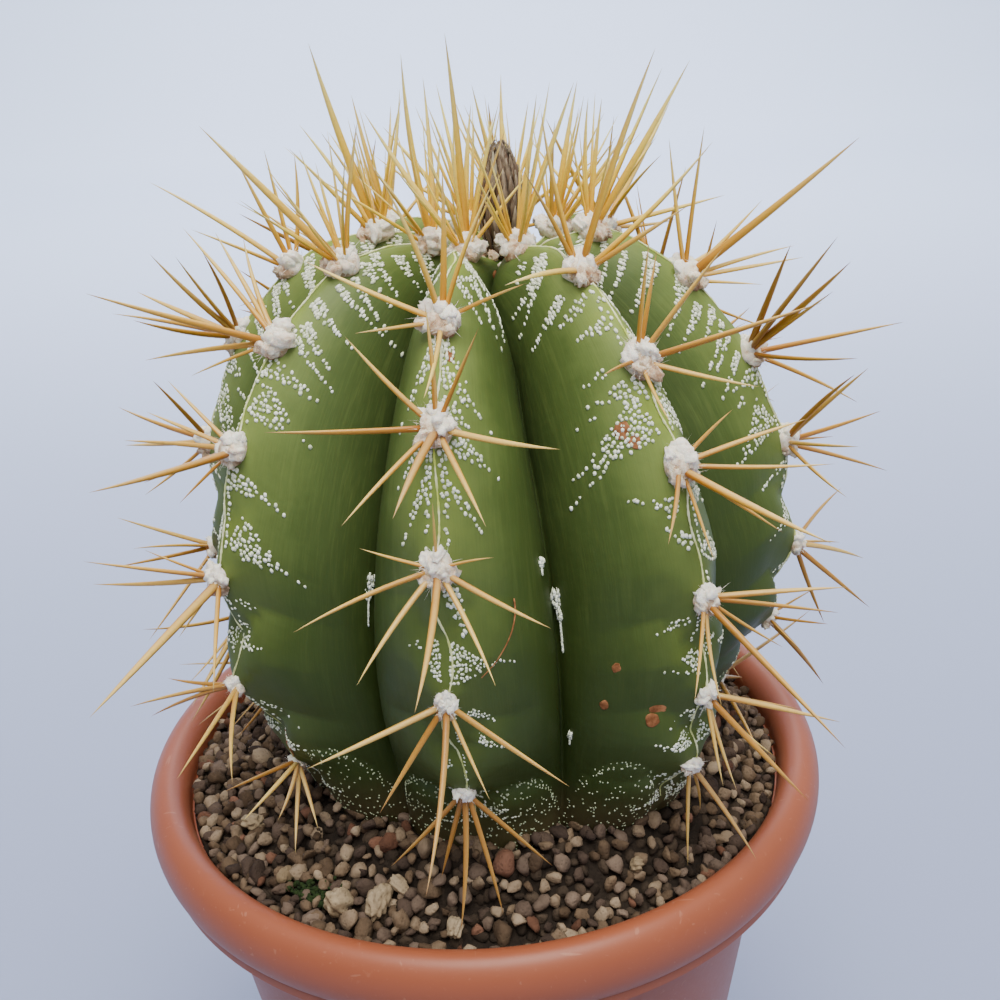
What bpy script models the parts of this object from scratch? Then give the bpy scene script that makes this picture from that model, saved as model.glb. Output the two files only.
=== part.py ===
"""A globe cactus with eight ribs and straight golden spines, in gritty soil in a plain round pot.

Metres, +Z up. The pot stands on Z = 0 with its axis on Z. The viewer is at -Y, with +X to the right.
Azimuths turn from -Y towards +X, so azimuth 0 faces the viewer.
"""

import math
import random

import bmesh
import bpy
from mathutils import Matrix, Vector

MM = 0.001
TURN = 2 * math.pi
GAP = 0.3 * MM

# Pot: a moulded plastic pot with a rolled rim
MOUTH_Z = 122 * MM
RIM_RADIUS = 70 * MM
RIM_BEAD_WIDTH = 8.2 * MM
RIM_BEAD_HEIGHT = 12.6 * MM
RIM_CROWN = 0.5 * MM
RIM_SKIN = 1.8 * MM
LIP_DEPTH = 13.4 * MM
WALL_TOP_RADIUS = 60.5 * MM
WALL_THICKNESS = 1.8 * MM
FOOT_RADIUS = 45 * MM
FOOT_CHAMFER = 1 * MM
FLOOR_THICKNESS = 2.2 * MM
POT_STEPS = 48
DRAIN_HOLES = 6
DRAIN_HOLE_RADIUS = 4 * MM
DRAIN_CIRCLE_RADIUS = 28 * MM

# Plant: its axis stands off the pot's, leans a little and bends towards +X at the crown
RIBS = 8
FIRST_RIB = math.radians(-8.5)
AXIS_X = 5.5 * MM
AXIS_Y = -3.0 * MM
LEAN = math.tan(math.radians(-0.6))
CROWN_SHIFT = 5.5 * MM
CROWN_TWIST = math.radians(-20)
FLANK_SHARPNESS = 1.2
FLANK_FULLNESS = 0.7

# Half sections of the stem in mm, (radius, height over the pot's mouth), from the crown down to the root.
# Both run together: a rib's flank leads from a crest point to the groove point of the same number.
CREST = (
    (0, 100.5), (6, 102), (12, 104.6), (22, 105.6), (30, 102.8), (38.6, 96.2), (46.5, 86.6), (52, 75.5),
    (56, 63.5), (57.8, 50), (57.6, 38), (54.5, 26.5), (49.5, 18), (45, 11), (42, 4.5), (39.5, -4),
    (34, -11.5), (20, -16.5), (0, -17.6),
)
GROOVE = (
    (0, 100.5), (5, 99.2), (10, 97.5), (14.5, 94), (19, 89), (23.5, 82), (28.5, 72.5), (33.5, 62.5),
    (37, 52.5), (39, 43), (39.6, 33.5), (39.3, 25), (38.6, 17.5), (37.8, 11), (37, 4.5), (35.5, -4),
    (31, -11), (19, -16.3), (0, -17.6),
)
LAST = len(CREST) - 1
# The stem's mesh: its meridians as shares of the way from a crest to the groove, its rings down to a
# place in mm along the crest, and those round the root as places on the half sections
STEM_COLUMNS = (-0.82, -0.42, 0, 0.42, 0.82, 1)
STEM_RINGS = 23
RINGS_END = 139
ROOT_PLACES = (14.4, 15.2, 16.2, 17.2)
# How far each rib's foot stands out (mm) and how far its crest turns aside (degrees)
FOOT_SWELL = (-2.5, 2.5, -4, 1, 0, 1, -2, 0)
CREST_TURN = (0, -1.2, 0, 0, 0, 0, 0, -0.5)

# Areoles on each rib, in mm along its crest from the crown
AREOLES = (
    (11.5, 38, 55.5, 76.5, 98.5, 121.5),
    (14, 31, 49, 66.5, 88.5, 106, 123),
    (21, 41, 59, 77.5, 98.5, 115, 131),
    (13, 33, 52, 72, 93, 113, 128),
    (18, 38, 57, 78, 99, 119),
    (13, 29, 47, 66, 87, 108, 127),
    (20, 36, 53.5, 76.5, 100, 116, 130),
    (12, 27.5, 45, 64, 86.5, 107.5, 130),
)
CUSHION_RADIUS = 3.0 * MM
CUSHION_HEIGHT = 2.3 * MM
CUSHION_SIDES = 6
CUSHION_RINGS = 3
YOUNG_CUSHION = 1.12
OLD_CUSHION = 0.66

# Notches between areoles: each rib's depth factor, where the deepest point lies on the way from one
# areole to the next, the mm to the end of the last one, and how far each fold rises into the flanks
SCALLOP_DEPTH = (0.8, 0.65, 0.95, 1, 0.9, 1.05, 1, 1)
NOTCH_PLACE = 0.53
LAST_SPAN = 20
FOLD_RISE = 7

# Pillows at the foot of each flank, in mm over the pot's mouth and in shares of the way to the groove
LOBE_TOPS = (20, 23, 21, 22, 21, 20, 22, 23)
LOBE_FOOT = 3
LOBE_MIDDLE = 0.53
LOBE_HALF_WIDTH = 0.43
LOBE_BULGE = 1.7 * MM

# Spines: (clock angle as seen from outside, lift off the skin, length in mm) where no rule is followed
SPINE_RADIUS = 0.68 * MM
SPINE_SIDES = 3
SPINE_WAIST = 1.45
SPINE_APART = math.radians(14)
SHORT_SPINE = 21 * MM
ROOT_RING = 1.9 * MM
ROOT_DEPTH = 1.4 * MM
MOST_LIFT = 86
SPINE_TESTS = (0.3, 0.45, 0.6, 0.7, 0.8, 0.9, 1)
SPINES_BY_PLACE = {
    (0, 0): ((-90, 64, 27), (-5, 58, 23), (-5, 72, 34), (35, 32, 16), (35, 62, 24)),
    (0, 1): ((-115, 22, 12), (-75, 24, 21), (-30, 62, 22), (5, 44, 21), (33, 42, 21), (80, 22, 13),
             (178, 26, 20)),
    (0, 2): ((180, 58, 30), (-145, 28, 20), (-95, 20, 23), (-45, 26, 17), (0, 32, 17), (33, 36, 16),
             (105, 24, 20), (150, 28, 19)),
    (0, 3): ((-145, 32, 19), (-110, 26, 21), (-70, 16, 10), (5, 30, 11), (75, 18, 8), (110, 26, 19),
             (145, 34, 19), (175, 62, 27)),
    (0, 4): ((180, 62, 28), (-145, 24, 18), (-105, 24, 21), (110, 26, 21), (150, 30, 14)),
    (0, 5): ((-175, 46, 23), (-160, 24, 18), (-135, 26, 21), (140, 22, 21), (160, 28, 22)),
    (1, 0): ((-70, 60, 11), (-45, 72, 14), (30, 70, 24), (35, 64, 26), (55, 64, 27)),
    (1, 1): ((-105, 14, 21), (-35, 42, 17), (-10, 48, 24), (40, 70, 34), (90, 52, 27), (105, 44, 18)),
    (1, 2): ((-155, 24, 13), (-100, 20, 11), (-5, 50, 18), (20, 34, 15), (50, 54, 20), (108, 50, 27),
             (140, 32, 17)),
    (1, 3): ((-170, 16, 14), (-170, 64, 30), (-125, 26, 16), (55, 30, 10), (85, 40, 19), (110, 38, 22),
             (150, 30, 17)),
    (1, 4): ((-165, 24, 15), (-130, 30, 16), (90, 38, 21), (105, 36, 20), (135, 28, 14), (180, 62, 30)),
    (1, 5): ((-175, 26, 14), (110, 32, 23), (110, 26, 16), (145, 42, 14), (155, 54, 22), (175, 26, 16)),
    (1, 6): ((-175, 32, 19), (150, 32, 21), (160, 18, 13)),
    (2, 0): ((15, 70, 21), (30, 74, 21), (130, 82, 28), (145, 76, 31)),
    (2, 1): ((-175, 82, 35), (0, 40, 22), (0, 54, 24), (115, 84, 17), (165, 56, 18), (170, 50, 19)),
    (2, 2): ((-100, 40, 24), (-65, 46, 23), (-60, 44, 30), (-50, 42, 31), (-40, 34, 25), (135, 58, 30),
             (155, 28, 25)),
    (2, 3): ((-105, 22, 19), (-80, 34, 19), (-45, 32, 23), (-40, 40, 23), (105, 50, 24), (150, 50, 22)),
    (2, 4): ((70, 30, 18), (110, 38, 17), (120, 48, 21), (160, 50, 22), (165, 26, 20)),
    (2, 5): ((-80, 26, 10), (-45, 32, 12), (65, 34, 14), (140, 58, 25)),
    (6, 0): ((-15, 58, 24), (35, 84, 33), (150, 78, 22), (160, 68, 20)),
    (6, 1): ((-20, 48, 19), (-10, 62, 20), (10, 74, 21), (170, 62, 18), (170, 72, 28)),
    (6, 2): ((-145, 56, 30), (-125, 58, 27), (40, 26, 21), (50, 32, 23), (55, 40, 25), (85, 32, 24)),
    (6, 3): ((-170, 40, 20), (-130, 52, 28), (-105, 58, 29), (40, 20, 19)),
    (6, 4): ((35, 38, 19), (60, 28, 17), (70, 48, 19), (125, 34, 21)),
    (7, 0): ((-145, 76, 17), (-25, 66, 27), (-5, 76, 31), (5, 64, 18)),
    (7, 1): ((-130, 64, 30), (-80, 80, 12), (-65, 64, 19), (-40, 74, 16), (15, 62, 22)),
    (7, 2): ((-140, 18, 14), (-130, 28, 21), (-125, 60, 29), (-65, 34, 25), (-55, 30, 21), (-45, 24, 18)),
    (7, 3): ((-160, 24, 11), (-130, 28, 16), (-105, 38, 18), (-85, 32, 16), (-60, 28, 15), (115, 62, 31)),
    (7, 4): ((-155, 28, 12), (-100, 38, 23), (-85, 42, 23), (-80, 26, 14), (110, 58, 34), (115, 28, 22)),
    (7, 5): ((-110, 40, 19), (-100, 40, 22), (-90, 28, 14), (80, 50, 23), (92, 31, 22)),
    (7, 6): ((25, 32, 18), (45, 34, 20), (60, 26, 18), (85, 20, 16), (85, 38, 18)),
}
CROWN_ARC = 30  # mm along the crest within which an areole's spines stand up in a bundle
CROWN_SPLAY = 0.35
OLD_ARC = 95  # mm past which they fan down

# Dried flower, standing in the crown
FLOWER_HEIGHT = 20.5 * MM
FLOWER_RADIUS = 4.2 * MM
FLOWER_CLEARANCE = 5.6 * MM
BRACT_RADIUS = 1.5 * MM
BRACT_ROWS = 4
BRACTS_IN_ROW = 5

# Soil: grit heaped up towards the stem
SOIL_AT_WALL = -4.5 * MM
SOIL_AT_STEM = 5.2 * MM
GRAIN = 5.6 * MM
GRAIN_RELIEF = 1.9 * MM
SOIL_SEGMENTS = 108
SOIL_RINGS = 7
# Half section of the hole that the root stands in, mm, from the surface down
STEM_HOLE = ((44.2, 5.2), (42.6, 0.5), (40.6, -4.5), (35.2, -12), (20.6, -17.2), (0, -17.95))
SPINE_OVER_GROUND = 1.6 * MM

TERRACOTTA = (0.44, 0.12, 0.065, 1)
GRIT = (0.19, 0.125, 0.075, 1)
SKIN = (0.06, 0.115, 0.027, 1)
DRIED_BRACT = (0.17, 0.12, 0.08, 1)


def eased(low, high, value):
    """0 below low, 1 above high, and a smooth step between them."""
    share = min(1, max(0, (value - low) / (high - low)))
    return share * share * (3 - 2 * share)


def on_curve(points, place):
    """The smooth curve through the points, at a place counted in points from the first."""
    last = len(points) - 1
    start = min(last - 1, int(place))
    share = place - start

    def point(index):
        if index < 0:
            return (-points[-index][0], points[-index][1])
        if index > last:
            return (-points[2 * last - index][0], points[2 * last - index][1])
        return points[index]

    a, b, c, d = (point(start + step) for step in (-1, 0, 1, 2))
    return [
        MM * 0.5 * (2 * b[k] + (c[k] - a[k]) * share + (2 * a[k] - 5 * b[k] + 4 * c[k] - d[k]) * share**2
                    + (3 * b[k] - a[k] - 3 * c[k] + d[k]) * share**3)
        for k in (0, 1)
    ]


def crest_arcs(steps=20):
    """(place, mm along the crest from the crown), closely spaced."""
    arcs = [(0, 0)]
    before = on_curve(CREST, 0)
    for step in range(1, LAST * steps + 1):
        here = on_curve(CREST, step / steps)
        arcs.append((step / steps, arcs[-1][1] + math.dist(before, here) / MM))
        before = here
    return arcs


CREST_ARCS = crest_arcs()


def arc_at(place):
    """mm along the crest at a place."""
    index = min(len(CREST_ARCS) - 1, round(place * (len(CREST_ARCS) - 1) / LAST))
    return CREST_ARCS[index][1]


def place_at(arc):
    """The place that lies this many mm along the crest."""
    return next(place for place, length in CREST_ARCS if length >= arc)


def notch_arc(above, below):
    """Where the notch between two areoles is deepest."""
    return above + NOTCH_PLACE * (below - above)


def scallop(rib, arc):
    """How deep a rib is notched, in mm: not at an areole, and most a little past half way to the next."""
    areoles = AREOLES[rib]
    depth = SCALLOP_DEPTH[rib] * (0.4 + 3.8 * eased(66, 106, arc)) * (1 - eased(130, 142, arc))
    for above, below in zip(areoles, areoles[1:] + (areoles[-1] + LAST_SPAN,)):
        deepest = notch_arc(above, below)
        if above < arc <= deepest:
            return depth * (arc - above) / (deepest - above)
        if deepest < arc < below:
            return depth * ((below - arc) / (below - deepest)) ** 1.7
    return 0


def lobe(rib, across, height):
    """How far the low pillow at the foot of a flank stands out."""
    aside = (abs(across) - LOBE_MIDDLE) / LOBE_HALF_WIDTH
    over = (height / MM - LOBE_FOOT) / (LOBE_TOPS[rib] - LOBE_FOOT)
    return LOBE_BULGE * math.sqrt(max(0, 1 - aside**2 - over**2))


def stem_point(rib, across, place):
    """A point of the skin. across goes from -1 in the groove before a rib, over its crest, to 1."""
    rib %= RIBS
    crest = on_curve(CREST, place)
    crest[0] += FOOT_SWELL[rib] * MM * eased(9.5, 12, place) * (1 - eased(13, 15, place))
    groove = on_curve(GROOVE, place)
    flank = (1 - abs(across) ** FLANK_SHARPNESS) ** FLANK_FULLNESS
    radius, height = (g + (c - g) * flank for g, c in zip(groove, crest))
    fold_arc = arc_at(place) + FOLD_RISE * eased(0, 0.3, abs(across))
    radius -= scallop(rib, fold_arc) * MM * eased(3, 6, place) * flank**2.5
    radius += lobe(rib, across, height)
    azimuth = FIRST_RIB + (rib + across / 2) * TURN / RIBS
    azimuth += CROWN_TWIST * (1 - eased(9 * MM, 24 * MM, radius))
    azimuth += math.radians(CREST_TURN[rib]) * (1 - abs(across))
    bend = CROWN_SHIFT * (1 - eased(0, 28 * MM, radius)) if place < LAST / 2 else 0
    return Vector((
        AXIS_X + height * LEAN + bend + radius * math.sin(azimuth),
        AXIS_Y - radius * math.cos(azimuth),
        MOUTH_Z + height,
    ))


def grain_height(x, y):
    """Rounded grains: the relief over a jittered grid of grain centres, from 0 between them to 1 on top."""
    best = 0
    column, row = round(x / GRAIN), round(y / GRAIN)
    for i in range(column - 1, column + 2):
        for j in range(row - 1, row + 2):
            draw = random.Random(i * 7919 + j * 104729)
            centre_x = (i + draw.uniform(-0.35, 0.35)) * GRAIN
            centre_y = (j + draw.uniform(-0.35, 0.35)) * GRAIN
            size = GRAIN * draw.uniform(0.5, 0.72)
            inside = 1 - ((x - centre_x) ** 2 + (y - centre_y) ** 2) / size**2
            if inside > 0:
                best = max(best, math.sqrt(inside) * draw.uniform(0.6, 1))
    return best


def inner_wall_radius(height):
    """The pot wall's inner radius at a height over the foot."""
    share = height / (MOUTH_Z - LIP_DEPTH)
    return FOOT_RADIUS + (WALL_TOP_RADIUS - FOOT_RADIUS) * share - WALL_THICKNESS


def soil_height(x, y):
    """The heap's mean height, over the foot's plane."""
    from_stem = math.hypot(x - AXIS_X, y - AXIS_Y) - STEM_HOLE[0][0] * MM
    to_wall = inner_wall_radius(MOUTH_Z) - math.hypot(x, y)
    share = max(0, from_stem) / max(1e-6, max(0, from_stem) + max(0, to_wall))
    return MOUTH_Z + SOIL_AT_STEM + (SOIL_AT_WALL - SOIL_AT_STEM) * math.sin(share * math.pi / 2)


def ground(x, y):
    """The height that a spine's point stays over: the heap, the rim, or nothing outside the pot."""
    out = math.hypot(x, y)
    if out > RIM_RADIUS + SPINE_OVER_GROUND:
        return 0
    if out > RIM_RADIUS - RIM_BEAD_WIDTH - SPINE_OVER_GROUND:
        return MOUTH_Z + RIM_CROWN + SPINE_OVER_GROUND
    return soil_height(x, y) + GRAIN_RELIEF + SPINE_OVER_GROUND


def crown_top():
    """Where the dried flower's base is."""
    return stem_point(0, 0, 0)


def from_crown(point):
    """The level way from the crown's middle to a point."""
    top = crown_top()
    return Vector((point.x - top.x, point.y - top.y, 0)).normalized()


def areole_frame(rib, arc):
    """An areole's point on the crest, the way up the crest, the way off the skin and the way to the right."""
    place = place_at(arc)
    point = stem_point(rib, 0, place)
    if arc < CROWN_ARC:
        outward = from_crown(point)
        off = (Vector((0, 0, 1)) + CROWN_SPLAY * outward).normalized()
        right = off.cross(outward).normalized()
        return point, off.cross(right), off, right
    up = (stem_point(rib, 0, place - 0.3) - stem_point(rib, 0, place + 0.3)).normalized()
    azimuth = FIRST_RIB + rib * TURN / RIBS
    outward = Vector((math.sin(azimuth), -math.cos(azimuth), 0))
    right = up.cross(outward).normalized()
    return point, up, right.cross(up), right


def in_flower(point):
    """Whether a spine's point comes too near the dried flower."""
    flower = crown_top()
    near = math.hypot(point.x - flower.x, point.y - flower.y) < FLOWER_CLEARANCE
    return near and point.z < flower.z + FLOWER_HEIGHT + FLOWER_CLEARANCE


def clear_way(root, along, off, lift, length):
    """The spine's way, lifted or turned until it clears the ground and the flower. None where it can't."""
    aside = from_crown(root)
    while lift < MOST_LIFT:
        way = along * math.cos(math.radians(lift)) + off * math.sin(math.radians(lift))
        while any(in_flower(root + way * length * share) for share in SPINE_TESTS):
            way = (way + 0.05 * aside).normalized()
        points = [root + way * length * share for share in SPINE_TESTS]
        if all(point.z > ground(point.x, point.y) for point in points):
            return way
        lift += 4
    return None


def spine_plan(rib, index):
    """(clock angle, lift, length) of each spine of an areole, in degrees and mm."""
    if (rib, index) in SPINES_BY_PLACE:
        return SPINES_BY_PLACE[rib, index]
    arc = AREOLES[rib][index]
    draw = random.Random(rib * 100 + index)
    start = draw.uniform(-25, 25)
    if arc < CROWN_ARC:
        radial = [(start + 36 + step * 72, draw.uniform(58, 74), draw.uniform(18, 25)) for step in range(5)]
        return radial + [(start + 20, 84, draw.uniform(24, 28))]
    if arc < OLD_ARC:
        radial = [(start + step * 60 + draw.uniform(-10, 10), draw.uniform(18, 34), draw.uniform(19, 28))
                  for step in range(6)]
        return radial + [(start + 150, 68, draw.uniform(27, 34))]
    radial = [(start + 70 + step * 55 + draw.uniform(-8, 8), draw.uniform(14, 34), draw.uniform(17, 26))
              for step in range(5)]
    return radial + [(start + 175, 60, draw.uniform(25, 31))]


def spines():
    """(root, tip, radius) of every spine, longest first at each areole, without those that would merge."""
    for rib in range(RIBS):
        for index, arc in enumerate(AREOLES[rib]):
            point, up, off, right = areole_frame(rib, arc)
            ways = []
            for clock, lift, length in sorted(spine_plan(rib, index), key=lambda spine: -spine[2]):
                turned = math.radians(clock)
                along = up * math.cos(turned) + right * math.sin(turned)
                root = point + along * ROOT_RING * math.cos(math.radians(lift)) + off * 0.5 * MM
                way = clear_way(root, along, off, lift, length * MM)
                if way and all(way.angle(other) > SPINE_APART for other in ways):
                    ways.append(way)
                    thick = SPINE_RADIUS * (0.8 + 0.4 * eased(14, 32, length))
                    yield root - way * ROOT_DEPTH, root + way * length * MM, thick


def new_material(name, colour, roughness):
    material = bpy.data.materials.new(name)
    material.use_nodes = True
    shader = material.node_tree.nodes["Principled BSDF"]
    shader.inputs["Base Color"].default_value = colour
    shader.inputs["Roughness"].default_value = roughness
    shader.inputs["Metallic"].default_value = 0
    return material


def new_object(name, bm, collection):
    """An object from a bmesh, which this frees."""
    mesh = bpy.data.meshes.new(name)
    bm.to_mesh(mesh)
    bm.free()
    obj = bpy.data.objects.new(name, mesh)
    collection.objects.link(obj)
    return obj


def shade(obj, angle):
    obj.data.shade_smooth()
    obj.data.set_sharp_from_angle(angle=math.radians(angle))


def helper_collection(name):
    helpers = bpy.data.collections.new(name)
    bpy.context.scene.collection.children.link(helpers)
    helpers.hide_render = True
    return helpers


def apply_modifiers(obj):
    """Replaces the object's mesh by what its modifiers make of it."""
    graph = bpy.context.evaluated_depsgraph_get()
    mesh = bpy.data.meshes.new_from_object(obj.evaluated_get(graph))
    obj.modifiers.clear()
    obj.data = mesh


def keep_outer_shell(obj):
    """Drops the scraps and fills the pockets that crossing pieces leave: only the largest shell stays."""
    bm = bmesh.new()
    bm.from_mesh(obj.data)
    unseen = set(bm.faces)
    shells = []
    while unseen:
        shell = {unseen.pop()}
        front = list(shell)
        while front:
            beside = {other for edge in front.pop().edges for other in edge.link_faces} & unseen
            unseen -= beside
            shell |= beside
            front.extend(beside)
        shells.append(shell)
    shells.sort(key=len)
    loose = {vert for shell in shells[:-1] for face in shell for vert in face.verts}
    bmesh.ops.delete(bm, geom=list(loose), context="VERTS")
    bm.to_mesh(obj.data)
    bm.free()


def fuse(obj, pieces):
    """Joins a collection's objects to the object by one union, and removes them."""
    union = obj.modifiers.new("Fuse", "BOOLEAN")
    union.operation = "UNION"
    union.operand_type = "COLLECTION"
    union.collection = pieces
    union.solver = "MANIFOLD"
    apply_modifiers(obj)
    keep_outer_shell(obj)
    for piece in list(pieces.objects):
        bpy.data.objects.remove(piece)
    bpy.data.collections.remove(pieces)


def as_helper(obj):
    obj.hide_render = True
    obj.display_type = "WIRE"
    return obj


def add_spike(pieces, root, tip, radius, sides, waist=None):
    """A straight spike drawn to a point. A waist widens its middle by that factor."""
    length = (tip - root).length
    bm = bmesh.new()
    bmesh.ops.create_cone(bm, cap_ends=True, segments=sides, radius1=radius, radius2=0, depth=length)
    if waist:
        long_edges = [edge for edge in bm.edges if edge.calc_length() > length / 2]
        cut = bmesh.ops.subdivide_edges(bm, edges=long_edges, cuts=1)
        for vert in cut["geom_inner"]:
            if isinstance(vert, bmesh.types.BMVert):
                vert.co.xy *= waist
    bmesh.ops.triangulate(bm, faces=bm.faces)
    turn = Vector((0, 0, 1)).rotation_difference(tip - root).to_matrix().to_4x4()
    bm.transform(Matrix.Translation((root + tip) / 2) @ turn)
    as_helper(new_object("Spine", bm, pieces))


def add_cushion(pieces, point, off, size):
    """A low dome of wool, sunk into the crest."""
    bm = bmesh.new()
    bmesh.ops.create_uvsphere(bm, u_segments=CUSHION_SIDES, v_segments=CUSHION_RINGS, radius=1)
    turn = Vector((0, 0, 1)).rotation_difference(off).to_matrix().to_4x4()
    scale = Matrix.Diagonal((CUSHION_RADIUS * size, CUSHION_RADIUS * size, CUSHION_HEIGHT * size, 1))
    bm.transform(Matrix.Translation(point - off * 0.2 * MM) @ turn @ scale)
    as_helper(new_object("Cushion", bm, pieces))


def make_pot(parts, helpers):
    """Turned from one half section: up the inside, over the rolled rim and down the outside."""
    bead_x, bead_z = RIM_RADIUS - RIM_BEAD_WIDTH / 2, MOUTH_Z + RIM_CROWN - RIM_BEAD_HEIGHT / 2
    bead = [
        (
            bead_x + RIM_BEAD_WIDTH / 2 * math.cos(math.radians(angle)),
            bead_z + RIM_BEAD_HEIGHT / 2 * math.sin(math.radians(angle)),
        )
        for angle in range(180, -61, -24)
    ]
    lip_z = MOUTH_Z - LIP_DEPTH
    lip_outer = RIM_RADIUS - 1.9 * MM
    hollow_z = MOUTH_Z - RIM_BEAD_HEIGHT / 2
    inside = [(0, FLOOR_THICKNESS), (inner_wall_radius(FLOOR_THICKNESS), FLOOR_THICKNESS)]
    inside.append((inner_wall_radius(lip_z), lip_z))
    outside = [
        (lip_outer, lip_z + 1.2 * MM),
        (lip_outer, lip_z),
        (lip_outer - RIM_SKIN, lip_z),
        (lip_outer - RIM_SKIN, hollow_z),
        (WALL_TOP_RADIUS + 0.8 * MM, hollow_z),
        (WALL_TOP_RADIUS, lip_z),
        (FOOT_RADIUS + 0.14 * FOOT_CHAMFER, FOOT_CHAMFER),
        (FOOT_RADIUS - FOOT_CHAMFER, 0),
        (0, 0),
    ]
    bm = bmesh.new()
    verts = [bm.verts.new((x, 0, z)) for x, z in inside + bead + outside]
    for first, second in zip(verts, verts[1:]):
        bm.edges.new((first, second))
    mesh = bpy.data.meshes.new("pot")
    bm.to_mesh(mesh)
    bm.free()
    pot = bpy.data.objects.new("pot", mesh)
    parts.objects.link(pot)
    screw = pot.modifiers.new("Turn", "SCREW")
    screw.steps = screw.render_steps = POT_STEPS
    screw.use_merge_vertices = True
    screw.merge_threshold = 0.01 * MM
    for hole in range(DRAIN_HOLES):
        angle = TURN * (hole + 0.03) / DRAIN_HOLES
        bm = bmesh.new()
        bmesh.ops.create_cone(
            bm, cap_ends=True, segments=12, radius1=DRAIN_HOLE_RADIUS, radius2=DRAIN_HOLE_RADIUS,
            depth=6 * FLOOR_THICKNESS,
        )
        cutter = as_helper(new_object("Drain hole", bm, helpers))
        cutter.location = (DRAIN_CIRCLE_RADIUS * math.cos(angle), DRAIN_CIRCLE_RADIUS * math.sin(angle), 0)
        cut = pot.modifiers.new("Drain hole", "BOOLEAN")
        cut.object = cutter
        cut.solver = "EXACT"
    pot.data.materials.append(new_material("Terracotta plastic", TERRACOTTA, 0.42))
    return pot


def make_soil(parts):
    """The pot's filling, lofted from the root hole's rings over the heap and down the pot's wall."""

    def stem_ring(radius, height):
        return lambda azimuth: Vector((
            AXIS_X + height * LEAN + radius * math.cos(azimuth),
            AXIS_Y + radius * math.sin(azimuth),
            MOUTH_Z + height,
        ))

    def wall_ring(height):
        radius = inner_wall_radius(height) - GAP
        return lambda azimuth: Vector((radius * math.cos(azimuth), radius * math.sin(azimuth), height))

    hole = [stem_ring(radius * MM, height * MM) for radius, height in reversed(STEM_HOLE[:-1])]
    edge, wall = hole[-1], wall_ring(MOUTH_Z + SOIL_AT_WALL)
    azimuths = [TURN * step / SOIL_SEGMENTS for step in range(SOIL_SEGMENTS)]
    rings = [[ring(azimuth) for azimuth in azimuths] for ring in hole[:-1]]
    for step in range(SOIL_RINGS + 1):
        share = step / SOIL_RINGS
        ring = []
        for number, azimuth in enumerate(azimuths):
            draw = random.Random(step * 1000 + number)
            loose = 0 if step in (0, SOIL_RINGS) else draw.uniform(-0.35, 0.35)
            point = edge(azimuth).lerp(wall(azimuth), share + loose / SOIL_RINGS)
            point.z = soil_height(point.x, point.y) + GRAIN_RELIEF * (grain_height(point.x, point.y) - 0.5)
            ring.append(point)
        rings.append(ring)
    rings.append([wall_ring(FLOOR_THICKNESS + GAP)(azimuth) for azimuth in azimuths])

    bm = bmesh.new()
    loops = [[bm.verts.new(point) for point in ring] for ring in rings]
    for inner, outer in zip(loops, loops[1:]):
        for number in range(SOIL_SEGMENTS):
            after = (number + 1) % SOIL_SEGMENTS
            bm.faces.new((inner[number], inner[after], outer[after], outer[number]))
    root_end = bm.verts.new((AXIS_X, AXIS_Y, MOUTH_Z + STEM_HOLE[-1][1] * MM))
    floor_centre = bm.verts.new((0, 0, FLOOR_THICKNESS + GAP))
    for centre, loop in ((root_end, loops[0]), (floor_centre, loops[-1])):
        for number in range(SOIL_SEGMENTS):
            bm.faces.new((centre, loop[number], loop[(number + 1) % SOIL_SEGMENTS]))
    bmesh.ops.triangulate(bm, faces=bm.faces)
    bmesh.ops.recalc_face_normals(bm, faces=bm.faces)
    soil = new_object("soil", bm, parts)
    soil.data.materials.append(new_material("Grit", GRIT, 0.95))
    return soil


def ring_arcs(rib):
    """Where the mesh's rings cross a crest: evenly spaced, but moved onto the areoles and the notches."""
    arcs = [RINGS_END * (step + 1) / STEM_RINGS for step in range(STEM_RINGS)]
    areoles = AREOLES[rib]
    notches = [notch_arc(above, below) for above, below in zip(areoles, areoles[1:])]
    for key in (*areoles, *notches):
        nearest = min(range(STEM_RINGS), key=lambda ring: abs(arcs[ring] - key))
        arcs[nearest] = key
    return arcs


def stem_mesh():
    """A ball whose meridians run down the crests, flanks and grooves."""
    places = [
        [place_at(arc) for arc in ring_arcs(rib)] + list(ROOT_PLACES)
        for rib in range(RIBS)
    ]
    bm = bmesh.new()
    segments, rings = RIBS * len(STEM_COLUMNS), len(places[0]) + 1
    bmesh.ops.create_uvsphere(bm, u_segments=segments, v_segments=rings, radius=1)
    for vert in bm.verts:
        ring = round(math.acos(max(-1, min(1, vert.co.z))) / math.pi * rings)
        if ring in (0, rings):
            vert.co = stem_point(0, 0, 0 if ring == 0 else LAST)
            continue
        segment = round(math.atan2(vert.co.y, vert.co.x) / TURN * segments) % segments
        rib, column = divmod(segment, len(STEM_COLUMNS))
        vert.co = stem_point(rib, STEM_COLUMNS[column], places[rib][ring - 1])
    bmesh.ops.triangulate(bm, faces=bm.faces)
    return bm


def cushion_size(arc):
    """Wool is thickest round the crown and thin on the oldest areoles."""
    return YOUNG_CUSHION + (OLD_CUSHION - YOUNG_CUSHION) * eased(60, 115, arc)


def make_cactus(parts):
    """The ribbed stem with a wool cushion and a star of spines on every areole, all one body."""
    cactus = new_object("cactus", stem_mesh(), parts)
    pieces = helper_collection("Cushions and spines")
    for rib in range(RIBS):
        for arc in AREOLES[rib]:
            point, _, off, _ = areole_frame(rib, arc)
            add_cushion(pieces, point, off, cushion_size(arc))
    for root, tip, radius in spines():
        waist = SPINE_WAIST if (tip - root).length > SHORT_SPINE else None
        add_spike(pieces, root, tip, radius, SPINE_SIDES, waist)
    fuse(cactus, pieces)
    cactus.data.materials.append(new_material("Green skin", SKIN, 0.5))
    return cactus


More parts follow.
